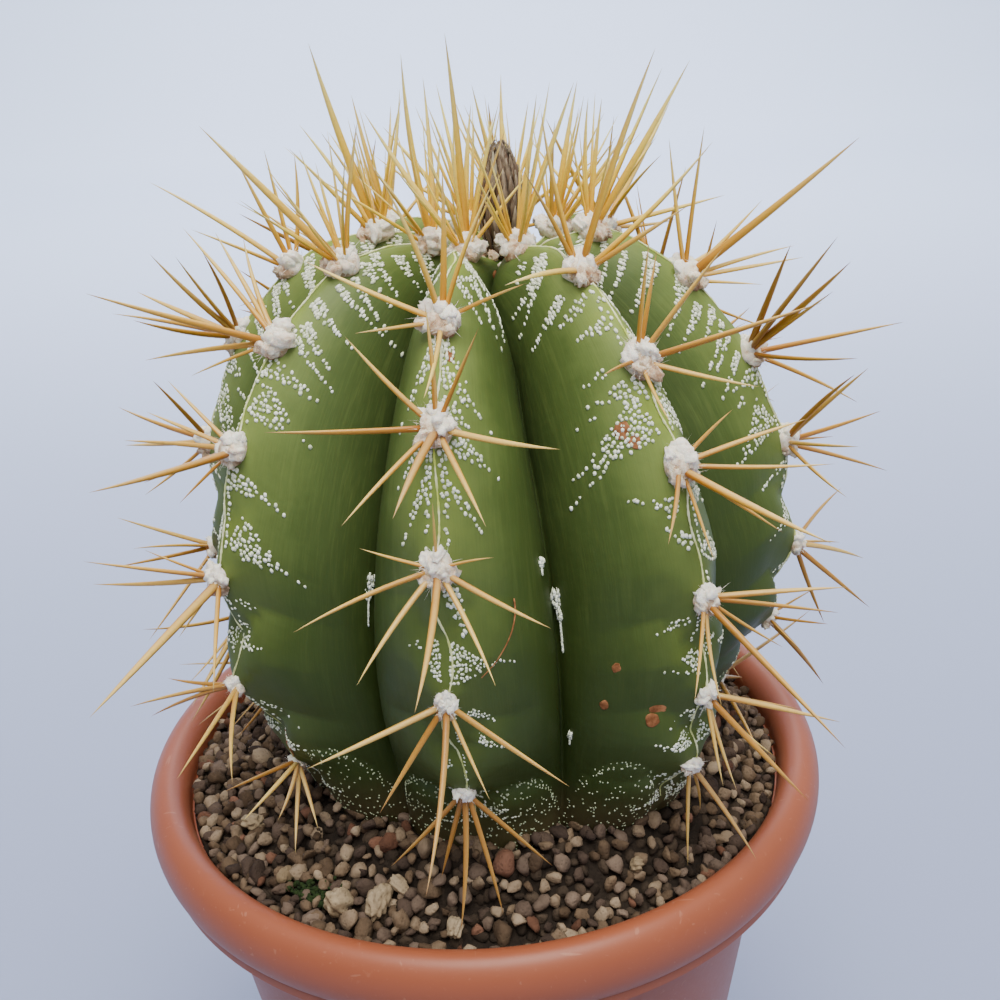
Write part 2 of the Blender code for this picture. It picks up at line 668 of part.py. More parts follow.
def make_flower(parts):
    """A dried flower: a slim spindle in overlapping rows of pointed bracts."""
    base = crown_top() + Vector((0, 0, GAP))
    bm = bmesh.new()
    bmesh.ops.create_uvsphere(bm, u_segments=8, v_segments=8, radius=1)
    for vert in bm.verts:
        share = (vert.co.z + 1) / 2
        swell = FLOWER_RADIUS * 0.8 * (0.35 + 0.65 * math.sin(math.pi * min(1, share * 1.1 + 0.12)))
        vert.co = (vert.co.x * swell, vert.co.y * swell, share * FLOWER_HEIGHT * 0.9)
    bm.transform(Matrix.Translation(base))
    flower = new_object("dried_flower", bm, parts)
    pieces = helper_collection("Bracts")
    for row in range(BRACT_ROWS):
        for step in range(BRACTS_IN_ROW):
            azimuth = TURN * (step + row / 2) / BRACTS_IN_ROW
            out = Vector((math.cos(azimuth), math.sin(azimuth), 0))
            low = base + Vector((0, 0, FLOWER_HEIGHT * (0.12 + 0.17 * row))) + out * FLOWER_RADIUS * 0.45
            top = base + Vector((0, 0, FLOWER_HEIGHT * (0.55 + 0.15 * row)))
            top += out * FLOWER_RADIUS * (0.95 - 0.25 * row)
            add_spike(pieces, low, top, BRACT_RADIUS, SPINE_SIDES)
    fuse(flower, pieces)
    flower.data.materials.append(new_material("Dried bract", DRIED_BRACT, 0.9))
    return flower


def main():
    for obj in list(bpy.data.objects):
        bpy.data.objects.remove(obj)
    parts = bpy.data.collections.new("Monks hood cactus")
    bpy.context.scene.collection.children.link(parts)
    cutters = helper_collection("Cutters")
    shade(make_pot(parts, cutters), 35)
    shade(make_soil(parts), 35)
    shade(make_cactus(parts), 35)
    shade(make_flower(parts), 35)


main()
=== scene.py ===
"""Looks of the potted cactus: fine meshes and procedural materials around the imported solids.

Metres, +Z up, in the CAD model's frame. Names ending in _MM and the tables of sections are in millimetres.
An arc is the way over the skin down from the crown, in millimetres. Across goes from -1 in the groove
before a rib, over its crest at 0, to 1 in the groove after it.
"""

import math
import random

import bmesh
import bpy
import numpy as np
from mathutils import Matrix, Vector


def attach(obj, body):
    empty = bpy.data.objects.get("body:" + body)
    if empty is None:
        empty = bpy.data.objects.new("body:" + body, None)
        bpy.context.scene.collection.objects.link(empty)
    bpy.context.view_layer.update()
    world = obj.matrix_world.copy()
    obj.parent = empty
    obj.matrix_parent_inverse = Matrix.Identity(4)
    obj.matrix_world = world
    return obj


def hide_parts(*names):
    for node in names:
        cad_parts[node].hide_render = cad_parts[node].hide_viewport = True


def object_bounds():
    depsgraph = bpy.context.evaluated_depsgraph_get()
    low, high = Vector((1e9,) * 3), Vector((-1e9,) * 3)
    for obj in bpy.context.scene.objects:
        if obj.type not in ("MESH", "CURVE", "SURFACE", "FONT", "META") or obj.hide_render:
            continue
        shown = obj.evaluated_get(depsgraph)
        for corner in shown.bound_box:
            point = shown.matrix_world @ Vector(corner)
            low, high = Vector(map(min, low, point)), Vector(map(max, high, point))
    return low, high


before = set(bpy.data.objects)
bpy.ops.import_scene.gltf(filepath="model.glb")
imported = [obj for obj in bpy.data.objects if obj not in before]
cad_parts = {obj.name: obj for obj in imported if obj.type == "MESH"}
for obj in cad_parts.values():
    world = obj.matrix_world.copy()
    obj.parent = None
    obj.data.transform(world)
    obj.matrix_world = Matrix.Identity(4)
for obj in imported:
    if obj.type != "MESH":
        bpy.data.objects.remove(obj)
CAD_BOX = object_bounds()

MM = 0.001
TURN = 2 * math.pi

# Pot
MOUTH_Z = 122 * MM
RIM_RADIUS = 70 * MM
RIM_BEAD_WIDTH = 8.2 * MM
RIM_BEAD_HEIGHT = 12.6 * MM
RIM_CROWN = 0.5 * MM
RIM_SKIN = 1.8 * MM
RIM_LIP = 1.9 * MM
LIP_Z = MOUTH_Z - 13.4 * MM
MOUTH_INNER_RADIUS = RIM_RADIUS - RIM_BEAD_WIDTH
WALL_TOP_RADIUS = 60.5 * MM
WALL_THICKNESS = 1.8 * MM
FOOT_RADIUS = 45 * MM
FOOT_CHAMFER = 1 * MM
FLOOR_THICKNESS = 2.2 * MM
FLOOR_FILLET = 2 * MM
DRAIN_HOLES = 6
DRAIN_HOLE_RADIUS = 4 * MM
DRAIN_CIRCLE_RADIUS = 28 * MM
FIRST_DRAIN = 0.03
POT_STEPS = 180
SHARP_ANGLE = math.radians(40)

# Plant, as in the CAD model
RIBS = 8
FIRST_RIB = math.radians(-8.5)
AXIS_X = 5.5 * MM
AXIS_Y = -3.0 * MM
LEAN = math.tan(math.radians(-0.6))
CROWN_SHIFT = 5.5 * MM
CROWN_SHIFT_RADIUS = 28 * MM
CROWN_TWIST = math.radians(-20)
CROWN_TWIST_RADII = 9 * MM, 24 * MM
FLANK_SHARPNESS = 1.2
FLANK_FULLNESS = 0.7
CREST = (
    (0, 100.5), (6, 102), (12, 104.6), (22, 105.6), (30, 102.8), (38.6, 96.2), (46.5, 86.6), (52, 75.5),
    (56, 63.5), (57.8, 50), (57.6, 38), (54.5, 26.5), (49.5, 18), (45, 11), (42, 4.5), (39.5, -4),
    (34, -11.5), (20, -16.5), (0, -17.6),
)
GROOVE = (
    (0, 100.5), (5, 99.2), (10, 97.5), (14.5, 94), (19, 89), (23.5, 82), (28.5, 72.5), (33.5, 62.5),
    (37, 52.5), (39, 43), (39.6, 33.5), (39.3, 25), (38.6, 17.5), (37.8, 11), (37, 4.5), (35.5, -4),
    (31, -11), (19, -16.3), (0, -17.6),
)
LAST = len(CREST) - 1
CURVE_SAMPLES = 1801
FOOT_SWELL = np.array((-2.5, 2.5, -4, 1, 0, 1, -2, 0))
FOOT_SWELL_GROWS = 9.5, 12
FOOT_SWELL_ENDS = 13, 15
CREST_TURN = np.array((0, -1.2, 0, 0, 0, 0, 0, -0.5))
AREOLES = (
    (11.5, 38, 55.5, 76.5, 98.5, 121.5),
    (14, 31, 49, 66.5, 88.5, 106, 123),
    (21, 41, 59, 77.5, 98.5, 115, 131),
    (13, 33, 52, 72, 93, 113, 128),
    (18, 38, 57, 78, 99, 119),
    (13, 29, 47, 66, 87, 108, 127),
    (20, 36, 53.5, 76.5, 100, 116, 130),
    (12, 27.5, 45, 64, 86.5, 107.5, 130),
)
OLDEST_ARC = 135
SCALLOP_DEPTH = (0.8, 0.65, 0.95, 1, 0.9, 1.05, 1, 1)
SCALLOP_YOUNG = 0.4
SCALLOP_GROWTH = 3.8
SCALLOP_GROWS = 66, 106
SCALLOP_ENDS = 130, 142
NOTCH = 0.53
NOTCH_RETURN = 1.7
NOTCH_SPREAD = 2.5
NOTCHES_START = 3, 6
FOLD_RISE = 7
FOLD_WIDTH = 0.3
LAST_SPAN = 20
LOBE_TOPS = np.array((20, 23, 21, 22, 21, 20, 22, 23))
LOBE_FOOT = 3
LOBE_MIDDLE = 0.53
LOBE_HALF_WIDTH = 0.43
LOBE_BULGE = 1.7 * MM
PLACE_STEP = 0.05
ACROSS_STEP = 0.02
LAST_ACROSS = 0.97
CREST_STEP = 0.3

# Skin mesh: columns on half a rib, arcs of the rows, and of the rows of the root
HALF_COLUMNS = 15
COLUMN_SPREAD = 1.5
SKIN_ARCS = 0.4, 141, 0.68
ROOT_ARC = 143
ROOT_ROWS = 12
ROOT_END_MM = 1.5
BOTTOM_ARC = 180
SKIN_ROUGHNESS = 0.012 * MM

# Spines, areole by areole from the crown down, where the rules don't suit: clock angle as seen from outside,
# lift off the skin, length in mm
SPINES_BY_RIB = {
    0: (
        ((-90, 64, 27), (-5, 58, 23), (-5, 72, 34), (35, 32, 16), (35, 62, 24)),
        ((-115, 22, 12), (-75, 24, 21), (-30, 62, 22), (5, 44, 21), (33, 42, 21), (80, 22, 13),
         (178, 26, 20)),
        ((180, 58, 30), (-145, 28, 20), (-95, 20, 23), (-45, 26, 17), (0, 32, 17), (33, 36, 16),
         (105, 24, 20), (150, 28, 19)),
        ((-145, 32, 19), (-110, 26, 21), (-70, 16, 10), (5, 30, 11), (75, 18, 8), (110, 26, 19),
         (145, 34, 19), (175, 62, 27)),
        ((180, 62, 28), (-145, 24, 18), (-105, 24, 21), (110, 26, 21), (150, 30, 14)),
        ((-175, 46, 23), (-160, 24, 18), (-135, 26, 21), (140, 22, 21), (160, 28, 22)),
    ),
    1: (
        ((-70, 60, 11), (-45, 72, 14), (30, 70, 24), (35, 64, 26), (55, 64, 27)),
        ((-105, 14, 21), (-35, 42, 17), (-10, 48, 24), (40, 70, 34), (90, 52, 27), (105, 44, 18)),
        ((-155, 24, 13), (-100, 20, 11), (-5, 50, 18), (20, 34, 15), (50, 54, 20), (108, 50, 27),
         (140, 32, 17)),
        ((-170, 16, 14), (-170, 64, 30), (-125, 26, 16), (55, 30, 10), (85, 40, 19), (110, 38, 22),
         (150, 30, 17)),
        ((-165, 24, 15), (-130, 30, 16), (90, 38, 21), (105, 36, 20), (135, 28, 14), (180, 62, 30)),
        ((-175, 26, 14), (110, 32, 23), (110, 26, 16), (145, 42, 14), (155, 54, 22), (175, 26, 16)),
        ((-175, 32, 19), (150, 32, 21), (160, 18, 13)),
    ),
    2: (
        ((15, 70, 21), (30, 74, 21), (130, 82, 28), (145, 76, 31)),
        ((-175, 82, 35), (0, 40, 22), (0, 54, 24), (115, 84, 17), (165, 56, 18), (170, 50, 19)),
        ((-100, 40, 24), (-65, 46, 23), (-60, 44, 30), (-50, 42, 31), (-40, 34, 25), (135, 58, 30),
         (155, 28, 25)),
        ((-105, 22, 19), (-80, 34, 19), (-45, 32, 23), (-40, 40, 23), (105, 50, 24), (150, 50, 22)),
        ((70, 30, 18), (110, 38, 17), (120, 48, 21), (160, 50, 22), (165, 26, 20)),
        ((-80, 26, 10), (-45, 32, 12), (65, 34, 14), (140, 58, 25)),
    ),
    6: (
        ((-15, 58, 24), (35, 84, 33), (150, 78, 22), (160, 68, 20)),
        ((-20, 48, 19), (-10, 62, 20), (10, 74, 21), (170, 62, 18), (170, 72, 28)),
        ((-145, 56, 30), (-125, 58, 27), (40, 26, 21), (50, 32, 23), (55, 40, 25), (85, 32, 24)),
        ((-170, 40, 20), (-130, 52, 28), (-105, 58, 29), (40, 20, 19)),
        ((35, 38, 19), (60, 28, 17), (70, 48, 19), (125, 34, 21)),
    ),
    7: (
        ((-145, 76, 17), (-25, 66, 27), (-5, 76, 31), (5, 64, 18)),
        ((-130, 64, 30), (-80, 80, 12), (-65, 64, 19), (-40, 74, 16), (15, 62, 22)),
        ((-140, 18, 14), (-130, 28, 21), (-125, 60, 29), (-65, 34, 25), (-55, 30, 21), (-45, 24, 18)),
        ((-160, 24, 11), (-130, 28, 16), (-105, 38, 18), (-85, 32, 16), (-60, 28, 15), (115, 62, 31)),
        ((-155, 28, 12), (-100, 38, 23), (-85, 42, 23), (-80, 26, 14), (110, 58, 34), (115, 28, 22)),
        ((-110, 40, 19), (-100, 40, 22), (-90, 28, 14), (80, 50, 23), (92, 31, 22)),
        ((25, 32, 18), (45, 34, 20), (60, 26, 18), (85, 20, 16), (85, 38, 18)),
    ),
}
# The rules, each down to an arc: the first clock angle, the step to the next, its play, the number of spines,
# their lifts and lengths, then the clock angle, lift and lengths of one in the middle
CROWN_ARC = 30
SPINE_RULES = (
    (CROWN_ARC, 36, 72, 0, 5, (58, 74), (18, 25), 20, 84, (24, 28)),
    (95, 0, 60, 10, 6, (18, 34), (19, 28), 150, 68, (27, 34)),
    (math.inf, 70, 55, 8, 5, (14, 34), (17, 26), 175, 60, (25, 31)),
)
FIRST_SPINE_PLAY = 25
CROWN_EXTRAS = 9, (54, 84), (13, 24)
OTHER_EXTRAS = 2, (20, 55), (14, 22)
EXTRA_FINENESS = 0.65
CROWN_SPLAY = 0.35
ROOT_RING = 1.9 * MM
ROOT_DEPTH = 1.4 * MM
ROOT_RISE_MM = 0.5
MOST_LIFT = 86
LIFT_STEP = 4
SPINE_TESTS = (0.3, 0.45, 0.6, 0.7, 0.8, 0.9, 1)
SPINE_OVER_GROUND = 1.6 * MM
GRIT_RISE = 1.9 * MM
SPINE_SIDES = 8
SPINE_RINGS = 11
RING_SPREAD = 0.85
SPINE_FLATNESS = 0.78
THINNEST_SPINE_MM = 0.13
SPINE_THICKENING = 0.0188
THICKNESS_PLAY = 0.92, 1.08
SPINE_TAPER = 2.7
POINT_THICKNESS = 0.015
TIP_SHARE = 0.997
MOST_BOW = 0.035
FOOT_BULGE = 0.12
FOOT_BULGE_PLACE = 0.08
FOOT_BULGE_WIDTH = 0.05

# Flecks. Bands where the rules don't suit, for a rib and a side: across without its sign and arc of the
# start, the same of the end, width in dots, pitch in mm
BANDS_BY_PLACE = {
    (1, -1): (
        (0.2, 22.5, 0.82, 32, 3.8, 0.56), (0.4, 21, 0.62, 23.5, 2, 0.7), (0.44, 26, 0.84, 28.5, 3, 0.58),
        (0.34, 33, 0.76, 37.5, 3.2, 0.6), (0.14, 35.6, 0.5, 38, 2.4, 0.78),
        (0.12, 41.4, 0.42, 41.6, 3, 0.74), (0.04, 34, 0.08, 46, 1.6, 1), (0.3, 48.3, 0.46, 49, 1.8, 1),
        (0.08, 53, 0.42, 52.6, 5.6, 0.86), (0.46, 54.5, 0.6, 55, 1.5, 1),
        (0.12, 57.5, 0.62, 61.5, 8.4, 0.86), (0.5, 62, 0.74, 66, 1.6, 1.1),
        (0.1, 73, 0.34, 69.6, 3.4, 0.96), (0.05, 79, 0.17, 76, 2.2, 1),
    ),
    (0, 1): (
        (0.12, 15, 0.74, 20, 3.4, 0.6), (0.2, 18, 0.72, 24, 3.8, 0.56), (0.2, 22, 0.56, 27.5, 4, 0.56),
        (0.66, 22, 0.76, 32, 3.4, 0.6), (0.14, 28, 0.42, 34.5, 3.2, 0.66), (0.28, 26.5, 0.54, 31, 3.4, 0.6),
        (0.54, 31, 0.7, 37.5, 1.8, 0.6), (0.03, 42, 0.22, 46.5, 3.4, 0.76), (0.1, 80, 0.16, 87, 3.4, 0.8),
        (0.04, 40, 0.07, 53, 2, 0.74), (0.06, 47, 0.38, 53, 3.2, 0.8), (0.12, 52, 0.28, 55.5, 2.2, 0.9),
        (0.14, 57, 0.42, 61, 5, 0.8), (0.05, 58, 0.08, 73, 2, 0.84), (0.1, 64, 0.3, 70, 2.2, 0.9),
        (0.05, 79, 0.14, 87, 3, 0.84), (0.05, 92, 0.3, 92.4, 10, 0.66), (0.36, 92, 0.5, 92.6, 1.6, 0.8),
        (0.14, 101, 0.3, 104, 3.2, 0.6), (0.16, 107, 0.34, 109.5, 3, 0.6), (0.04, 101, 0.05, 116, 1.6, 0.7),
    ),
    (0, -1): (
        (0.1, 16, 0.6, 24, 3.8, 0.56), (0.2, 26, 0.52, 31, 3.2, 0.6), (0.04, 42, 0.36, 52.5, 3.8, 0.8),
        (0.04, 40, 0.07, 53, 2, 0.74), (0.08, 57, 0.34, 63, 4.4, 0.8), (0.05, 58, 0.08, 73, 2, 0.84),
        (0.1, 64, 0.26, 71, 2.4, 0.9), (0.03, 91.6, 0.12, 91.8, 10, 0.66), (0.16, 89, 0.24, 89, 1.4, 0.8),
        (0.06, 113, 0.14, 114, 3, 0.66),
    ),
}
BANDS_END = {(1, -1): 80, (0, 1): 120, (0, -1): 120}
FIRST_BAND_ARC = 3
CROWN_BANDS_END = 42
FLANK_BANDS_END = 74
NARROWEST_FLANK = 4.5
FLANK_SHARE = 0.55
BAND_TRAIL = 1.25
LEAST_ACROSS = 0.012
FLECKS_ACROSS = 0.9
# Pieces: first and last arc, of all but those on the pillows, radius in mm, seed, brightness; the pillows'
# low brightness is painted shade
FLECK_PIECES = {
    "crown_flecks": (4, 50, 0.31, 11, 1),
    "flank_flecks": (50, 88, 0.345, 13, 1),
    "foot_flecks": (88, 139, 0.25, 14, 1),
    # Painted shade: the dots on the pillows are darkened.
    "lobe_flecks": (None, None, 0.19, 12, 0.2),
}
FLECK_SIZES = 0.8, 1.15
FLECK_STRETCH = 0.9, 1.3
CROWN_STRETCH = 0.45
CROWN_STRETCH_ENDS = 35, 55
LOBE_OUTLINE = 0.42
OUTLINE_STEPS = 76
LOBE_DOTS = 170

# Crest lines
LINE_ARCS = 6, 136, 0.45
LINE_SIDES = 6
LINE_WANDER = 0.013
LINE_SWING = 0.03

# Wool
CUSHION_RADIUS = 3.0 * MM
CUSHION_HEIGHT = 2.3 * MM
YOUNG_CUSHION = 1.12
OLD_CUSHION = 0.66
CUSHION_SHRINKS = 60, 115
CUSHION_SHAPE = np.array([CUSHION_RADIUS * 0.95, CUSHION_RADIUS * 1.1, CUSHION_HEIGHT])
WOOL_SUNK_MM = 0.3
WOOL_CORE = 0.84
WOOL_LUMPS = 7
LUMPS_ROUND = 5
LUMP_SIZES_MM = (1.1, 1.0, 0.7), (1.9, 1.6, 1.2)
FIBRES = 70
FIBRE_WIDTH_MM = 0.04
TUFT_SIZES_MM = (0.8, 0.7, 0.6), (1.3, 1.2, 1.0)
TUFT_ARCS = 4.2, 5.4
TUFT_ACROSS = 0.02, 0.92

# Marks. Cork scars in the grooves: rib, across, arc of the top, length and width in mm
SCARS = (
    (1, -0.965, 80, 7, 2.2), (0, 0.85, 74, 1.4, 1.4), (1, -0.95, 115, 1.5, 0.3), (7, 0.955, 77.5, 5.5, 1.7),
    (3, 0.985, 88, 9, 1.2), (5, 0.985, 80, 11, 1.2),
)
SCAR_GRAINS_A_MM = 15
SCAR_TRAIL = 2.1
# Brown spots: rib, across, arc, radius in mm
SPOTS = (
    (1, -0.32, 58, 1.3), (1, -0.26, 60.5, 1.0), (1, -0.62, 98, 0.8), (1, -0.7, 106, 0.8), (1, -0.3, 108, 1.5),
    (1, -0.36, 110, 1.1), (0, 0.1, 44, 0.8), (7, 0.06, 121, 1.5), (7, 0.05, 125, 1.3), (3, 0.3, 80, 1.2),
    (5, -0.4, 70, 1.4), (4, 0.2, 62, 1.0), (2, 0.08, 26, 1.1), (0, 0.97, 9, 1.2),
)
THREAD_RIB = 0
THREAD_STEPS = 24
THREAD_TOP = 81.5
THREAD_LENGTH = 13

# Dried flower
FLOWER_HEIGHT = 20.5 * MM
FLOWER_RADIUS = 4.2 * MM
FLOWER_CLEARANCE = 5.6 * MM
FLOWER_DODGE = 0.05
GAP = 0.3 * MM
CORE_RINGS = 14
CORE_STEPS = 20
BRACT_ROWS = 12
BRACTS_A_ROW = 9
BRACT_STEPS = np.linspace(0, 1, 7)
BRACT_HALF_WIDTH_MM = 0.85
FLOWER_TOP = 0.985
FLOWER_HAIRS = 520
HAIR_WIDTH_MM = 0.08

# Soil
SOIL_AT_WALL = -4.5 * MM
SOIL_AT_STEM = 5.2 * MM
STEM_HOLE_RADIUS = 44.2 * MM
BED_STEPS = 160
BED_RINGS = 10
BED_DEPTH = 1.6 * MM
BED_UNDER_STEM = 5 * MM
GRAIN_PITCH = 2.42 * MM
GRAINS_TO_MM = 62
GRAINS_FROM_STEM = 38 * MM
GRAIN_PLAY = 0.34
GRAINS_AT_WALL = 190
# Kinds of grit: name, material, share, its dark, middle and light tones
GRIT = (
    ("grit_tan", "Tan grit", 0.55, (0.042, 0.025, 0.014), (0.14, 0.092, 0.054), (0.32, 0.24, 0.155)),
    ("grit_grey", "Grey grit", 0.38, (0.024, 0.015, 0.011), (0.08, 0.053, 0.037), (0.19, 0.135, 0.095)),
    ("grit_red", "Red grit", 0.07, (0.04, 0.018, 0.01), (0.13, 0.058, 0.033), (0.24, 0.12, 0.075)),
)
# Half lengths of grains and the share of each
GRAIN_SIZES_MM = (1.15, 1.5, 1.9, 2.5)
GRAIN_SHARES = (0.26, 0.4, 0.25, 0.09)
# Pale stones: azimuth in degrees, radius from the pot's axis and size in mm
STONES = (
    (-28, 55.5, 3.3), (-20.5, 53.5, 3.2), (-17, 51, 1.9), (-5.5, 56.5, 2.3), (-42, 55, 1.8), (30, 54, 1.8),
    (-60, 52, 2.2), (110, 50, 2.6), (170, 52, 2.8), (230, 50, 2.4),
)
MOSS_AZIMUTHS = (-36, -33, 140, 205)
MOSS_RADIUS_MM = 56.5
MOSS_LEAVES = 360

# Floor and backdrop
FLOOR_HALF_WIDTH = 5
FLOOR_FRONT = -2.5
BACKDROP_DISTANCE = 2.6
BACKDROP_HEIGHT = 3.2
BACKDROP_BEND = 0.9

# Camera: at the photograph's viewpoint
CAMERA_PLACE = Vector((6.56, -215.6, 267.3)) * MM
CAMERA_DOWN = 23.3
CAMERA_ROLL = -3.31
CAMERA_LENS = 42.98
CAMERA_NEAR = 0.005

# Lights: place, target, size, watts, colour
LIGHTS = {
    "Key": ((0.08, -0.5, 1.5), (0, 0, 0.15), 1.1, 34, (1, 0.985, 0.96)),
    "Fill": ((0.6, -1.2, 0.9), (0, 0, 0.12), 1.2, 2, (1, 0.97, 0.93)),
    "Back": ((0.2, 1.1, 1.3), (0, 0, 0.2), 0.9, 6, (1, 0.98, 0.96)),
    "Backdrop": ((0, 0.9, 1.5), (0, 2.6, 0.5), 1.2, 64, (0.88, 0.935, 1)),
}
SKY_LOW = (0.23, 0.25, 0.32, 1)
SKY_HIGH = (0.95, 0.96, 1.02, 1)


def eased(low, high, value):
    """0 below low, 1 above high, and a smooth step between them."""
    share = np.clip((np.asarray(value, float) - low) / (high - low), 0, 1)
    return share * share * (3 - 2 * share)


def on_curve(points, place):
    """(radius, height) in metres on the smooth curve through the points, at places counted in points."""
    rows = np.array(points, float)
    mirrored = np.array([(-1, 1)])
    rows = np.concatenate([rows[1:2] * mirrored, rows, rows[-2:-1] * mirrored]) * MM
    place = np.asarray(place, float)
    start = np.clip(place.astype(int), 0, len(points) - 2)
    share = (place - start)[..., None]
    a, b, c, d = (rows[start + step] for step in range(4))
    found = 0.5 * (2 * b + (c - a) * share + (2 * a - 5 * b + 4 * c - d) * share**2
                   + (3 * b - a - 3 * c + d) * share**3)
    return found[..., 0], found[..., 1]


FINE_PLACES = np.linspace(0, LAST, CURVE_SAMPLES)
_radius, FINE_HEIGHTS = on_curve(CREST, FINE_PLACES)
FINE_ARCS = np.concatenate([[0], np.cumsum(np.hypot(np.diff(_radius), np.diff(FINE_HEIGHTS)))]) / MM


def spans(rib, *first):
    """The arcs between which a rib swells: from one areole to the next, and on below the last one."""
    arcs = first + AREOLES[rib] + (AREOLES[rib][-1] + LAST_SPAN,)
    return zip(arcs, arcs[1:])


def scallop(rib, arc):
    """How deep a rib is notched, in mm and from 0 to 1: deepest a little past half way to the next areole."""
    arc = np.asarray(arc, float)
    notch = np.zeros_like(arc)
    for above, below in spans(rib):
        share = np.clip((arc - above) / (below - above), 0, 1)
        notch += np.where(share < NOTCH, share / NOTCH, ((1 - share) / (1 - NOTCH)) ** NOTCH_RETURN)
    growth = SCALLOP_YOUNG + SCALLOP_GROWTH * eased(*SCALLOP_GROWS, arc)
    return SCALLOP_DEPTH[rib] * growth * (1 - eased(*SCALLOP_ENDS, arc)) * notch, notch


def scallops(rib, arc):
    """scallop for points of several ribs."""
    masks = [rib == k for k in range(RIBS)]
    return [np.select(masks, values) for values in zip(*(scallop(k, arc) for k in range(RIBS)))]


def lobe(rib, across, height):
    """The low pillows at the foot of each flank: their bulge in metres, and 0 at the outline to 1 inside."""
    top = LOBE_TOPS[rib]
    wide = (np.abs(across) - LOBE_MIDDLE) / LOBE_HALF_WIDTH
    inside = 1 - wide**2 - ((height / MM - LOBE_FOOT) / (top - LOBE_FOOT)) ** 2
    return LOBE_BULGE * np.sqrt(np.clip(inside, 0, 1)), inside


def stem_point(rib, across, place):
    """Points of the skin. The place is counted in points of the crest's table."""
    rib = np.asarray(rib) % RIBS
    across, place = np.broadcast_arrays(np.asarray(across, float), np.asarray(place, float))
    rib = np.broadcast_to(rib, place.shape)
    crest_radius, crest_height = on_curve(CREST, place)
    groove_radius, groove_height = on_curve(GROOVE, place)
    swell = FOOT_SWELL[rib] * MM * eased(*FOOT_SWELL_GROWS, place)
    crest_radius = crest_radius + swell * (1 - eased(*FOOT_SWELL_ENDS, place))
    flank = (1 - np.abs(across) ** FLANK_SHARPNESS) ** FLANK_FULLNESS
    radius = groove_radius + (crest_radius - groove_radius) * flank
    height = groove_height + (crest_height - groove_height) * flank
    arc = np.interp(place, FINE_PLACES, FINE_ARCS) + FOLD_RISE * eased(0, FOLD_WIDTH, np.abs(across))
    depth, _ = scallops(rib, arc)
    radius = radius - depth * MM * eased(*NOTCHES_START, place) * flank**NOTCH_SPREAD
    radius = radius + lobe(rib, across, height)[0]
    azimuth = FIRST_RIB + (rib + across / 2) * TURN / RIBS
    azimuth = azimuth + CROWN_TWIST * (1 - eased(*CROWN_TWIST_RADII, radius))
    azimuth = azimuth + np.radians(CREST_TURN[rib]) * (1 - np.abs(across))
    bend = CROWN_SHIFT * (1 - eased(0, CROWN_SHIFT_RADIUS, radius)) * (place < LAST / 2)
    return np.stack([
        AXIS_X + height * LEAN + bend + radius * np.sin(azimuth),
        AXIS_Y - radius * np.cos(azimuth),
        MOUTH_Z + height,
    ], axis=-1)


def place_at(arc):
    return np.interp(arc, FINE_ARCS, FINE_PLACES)


def unit(rows):
    return rows / np.linalg.norm(rows, axis=-1, keepdims=True)


def skin_frame(rib, across, arc):
    """Points of the skin with the way down the rib, the way round to the right and the way out."""
    place = place_at(arc)
    point = stem_point(rib, across, place)
    down = unit(stem_point(rib, across, place + PLACE_STEP) - stem_point(rib, across, place - PLACE_STEP))
    step = np.where(across > LAST_ACROSS, -ACROSS_STEP, ACROSS_STEP)
    side = stem_point(rib, across + step, place) - point
    side = unit(side * np.sign(step)[..., None])
    out = unit(np.cross(side, down) * -1)
    return point, down, side, out


CROWN_TOP = Vector(stem_point(0, 0, 0.0))


def from_crown(point):
    """The level way from the crown's middle to a point."""
    return Vector((point.x - CROWN_TOP.x, point.y - CROWN_TOP.y, 0)).normalized()


def areole_frame(rib, arc):
    """An areole's point on the crest, the way up the crest, the way off the skin and the way to the right."""
    place = float(place_at(arc))
    point = Vector(stem_point(rib, 0, place))
    if arc < CROWN_ARC:
        outward = from_crown(point)
        off = (Vector((0, 0, 1)) + CROWN_SPLAY * outward).normalized()
        right = off.cross(outward).normalized()
        return point, off.cross(right), off, right
    up = Vector(stem_point(rib, 0, place - CREST_STEP) - stem_point(rib, 0, place + CREST_STEP)).normalized()
    azimuth = FIRST_RIB + rib * TURN / RIBS
    outward = Vector((math.sin(azimuth), -math.cos(azimuth), 0))
    right = up.cross(outward).normalized()
    return point, up, right.cross(up), right


def inner_wall_radius(height):
    share = height / LIP_Z
    return FOOT_RADIUS + (WALL_TOP_RADIUS - FOOT_RADIUS) * share - WALL_THICKNESS


def soil_height(x, y):
    """The heap's mean height over the floor that the pot stands on."""
    from_stem = np.clip(np.hypot(x - AXIS_X, y - AXIS_Y) - STEM_HOLE_RADIUS, 0, None)
    to_wall = np.clip(inner_wall_radius(MOUTH_Z) - np.hypot(x, y), 0, None)
    share = from_stem / np.clip(from_stem + to_wall, 1e-6, None)
    return MOUTH_Z + SOIL_AT_STEM + (SOIL_AT_WALL - SOIL_AT_STEM) * np.sin(share * math.pi / 2)


def ground(x, y):
    """The height that a spine's point stays over."""
    out = math.hypot(x, y)
    if out > RIM_RADIUS + SPINE_OVER_GROUND:
        return 0
    if out > MOUTH_INNER_RADIUS - SPINE_OVER_GROUND:
        return MOUTH_Z + RIM_CROWN + SPINE_OVER_GROUND
    return float(soil_height(x, y)) + GRIT_RISE + SPINE_OVER_GROUND


def in_flower(point):
    near = math.hypot(point.x - CROWN_TOP.x, point.y - CROWN_TOP.y) < FLOWER_CLEARANCE
    return near and point.z < CROWN_TOP.z + FLOWER_HEIGHT + FLOWER_CLEARANCE


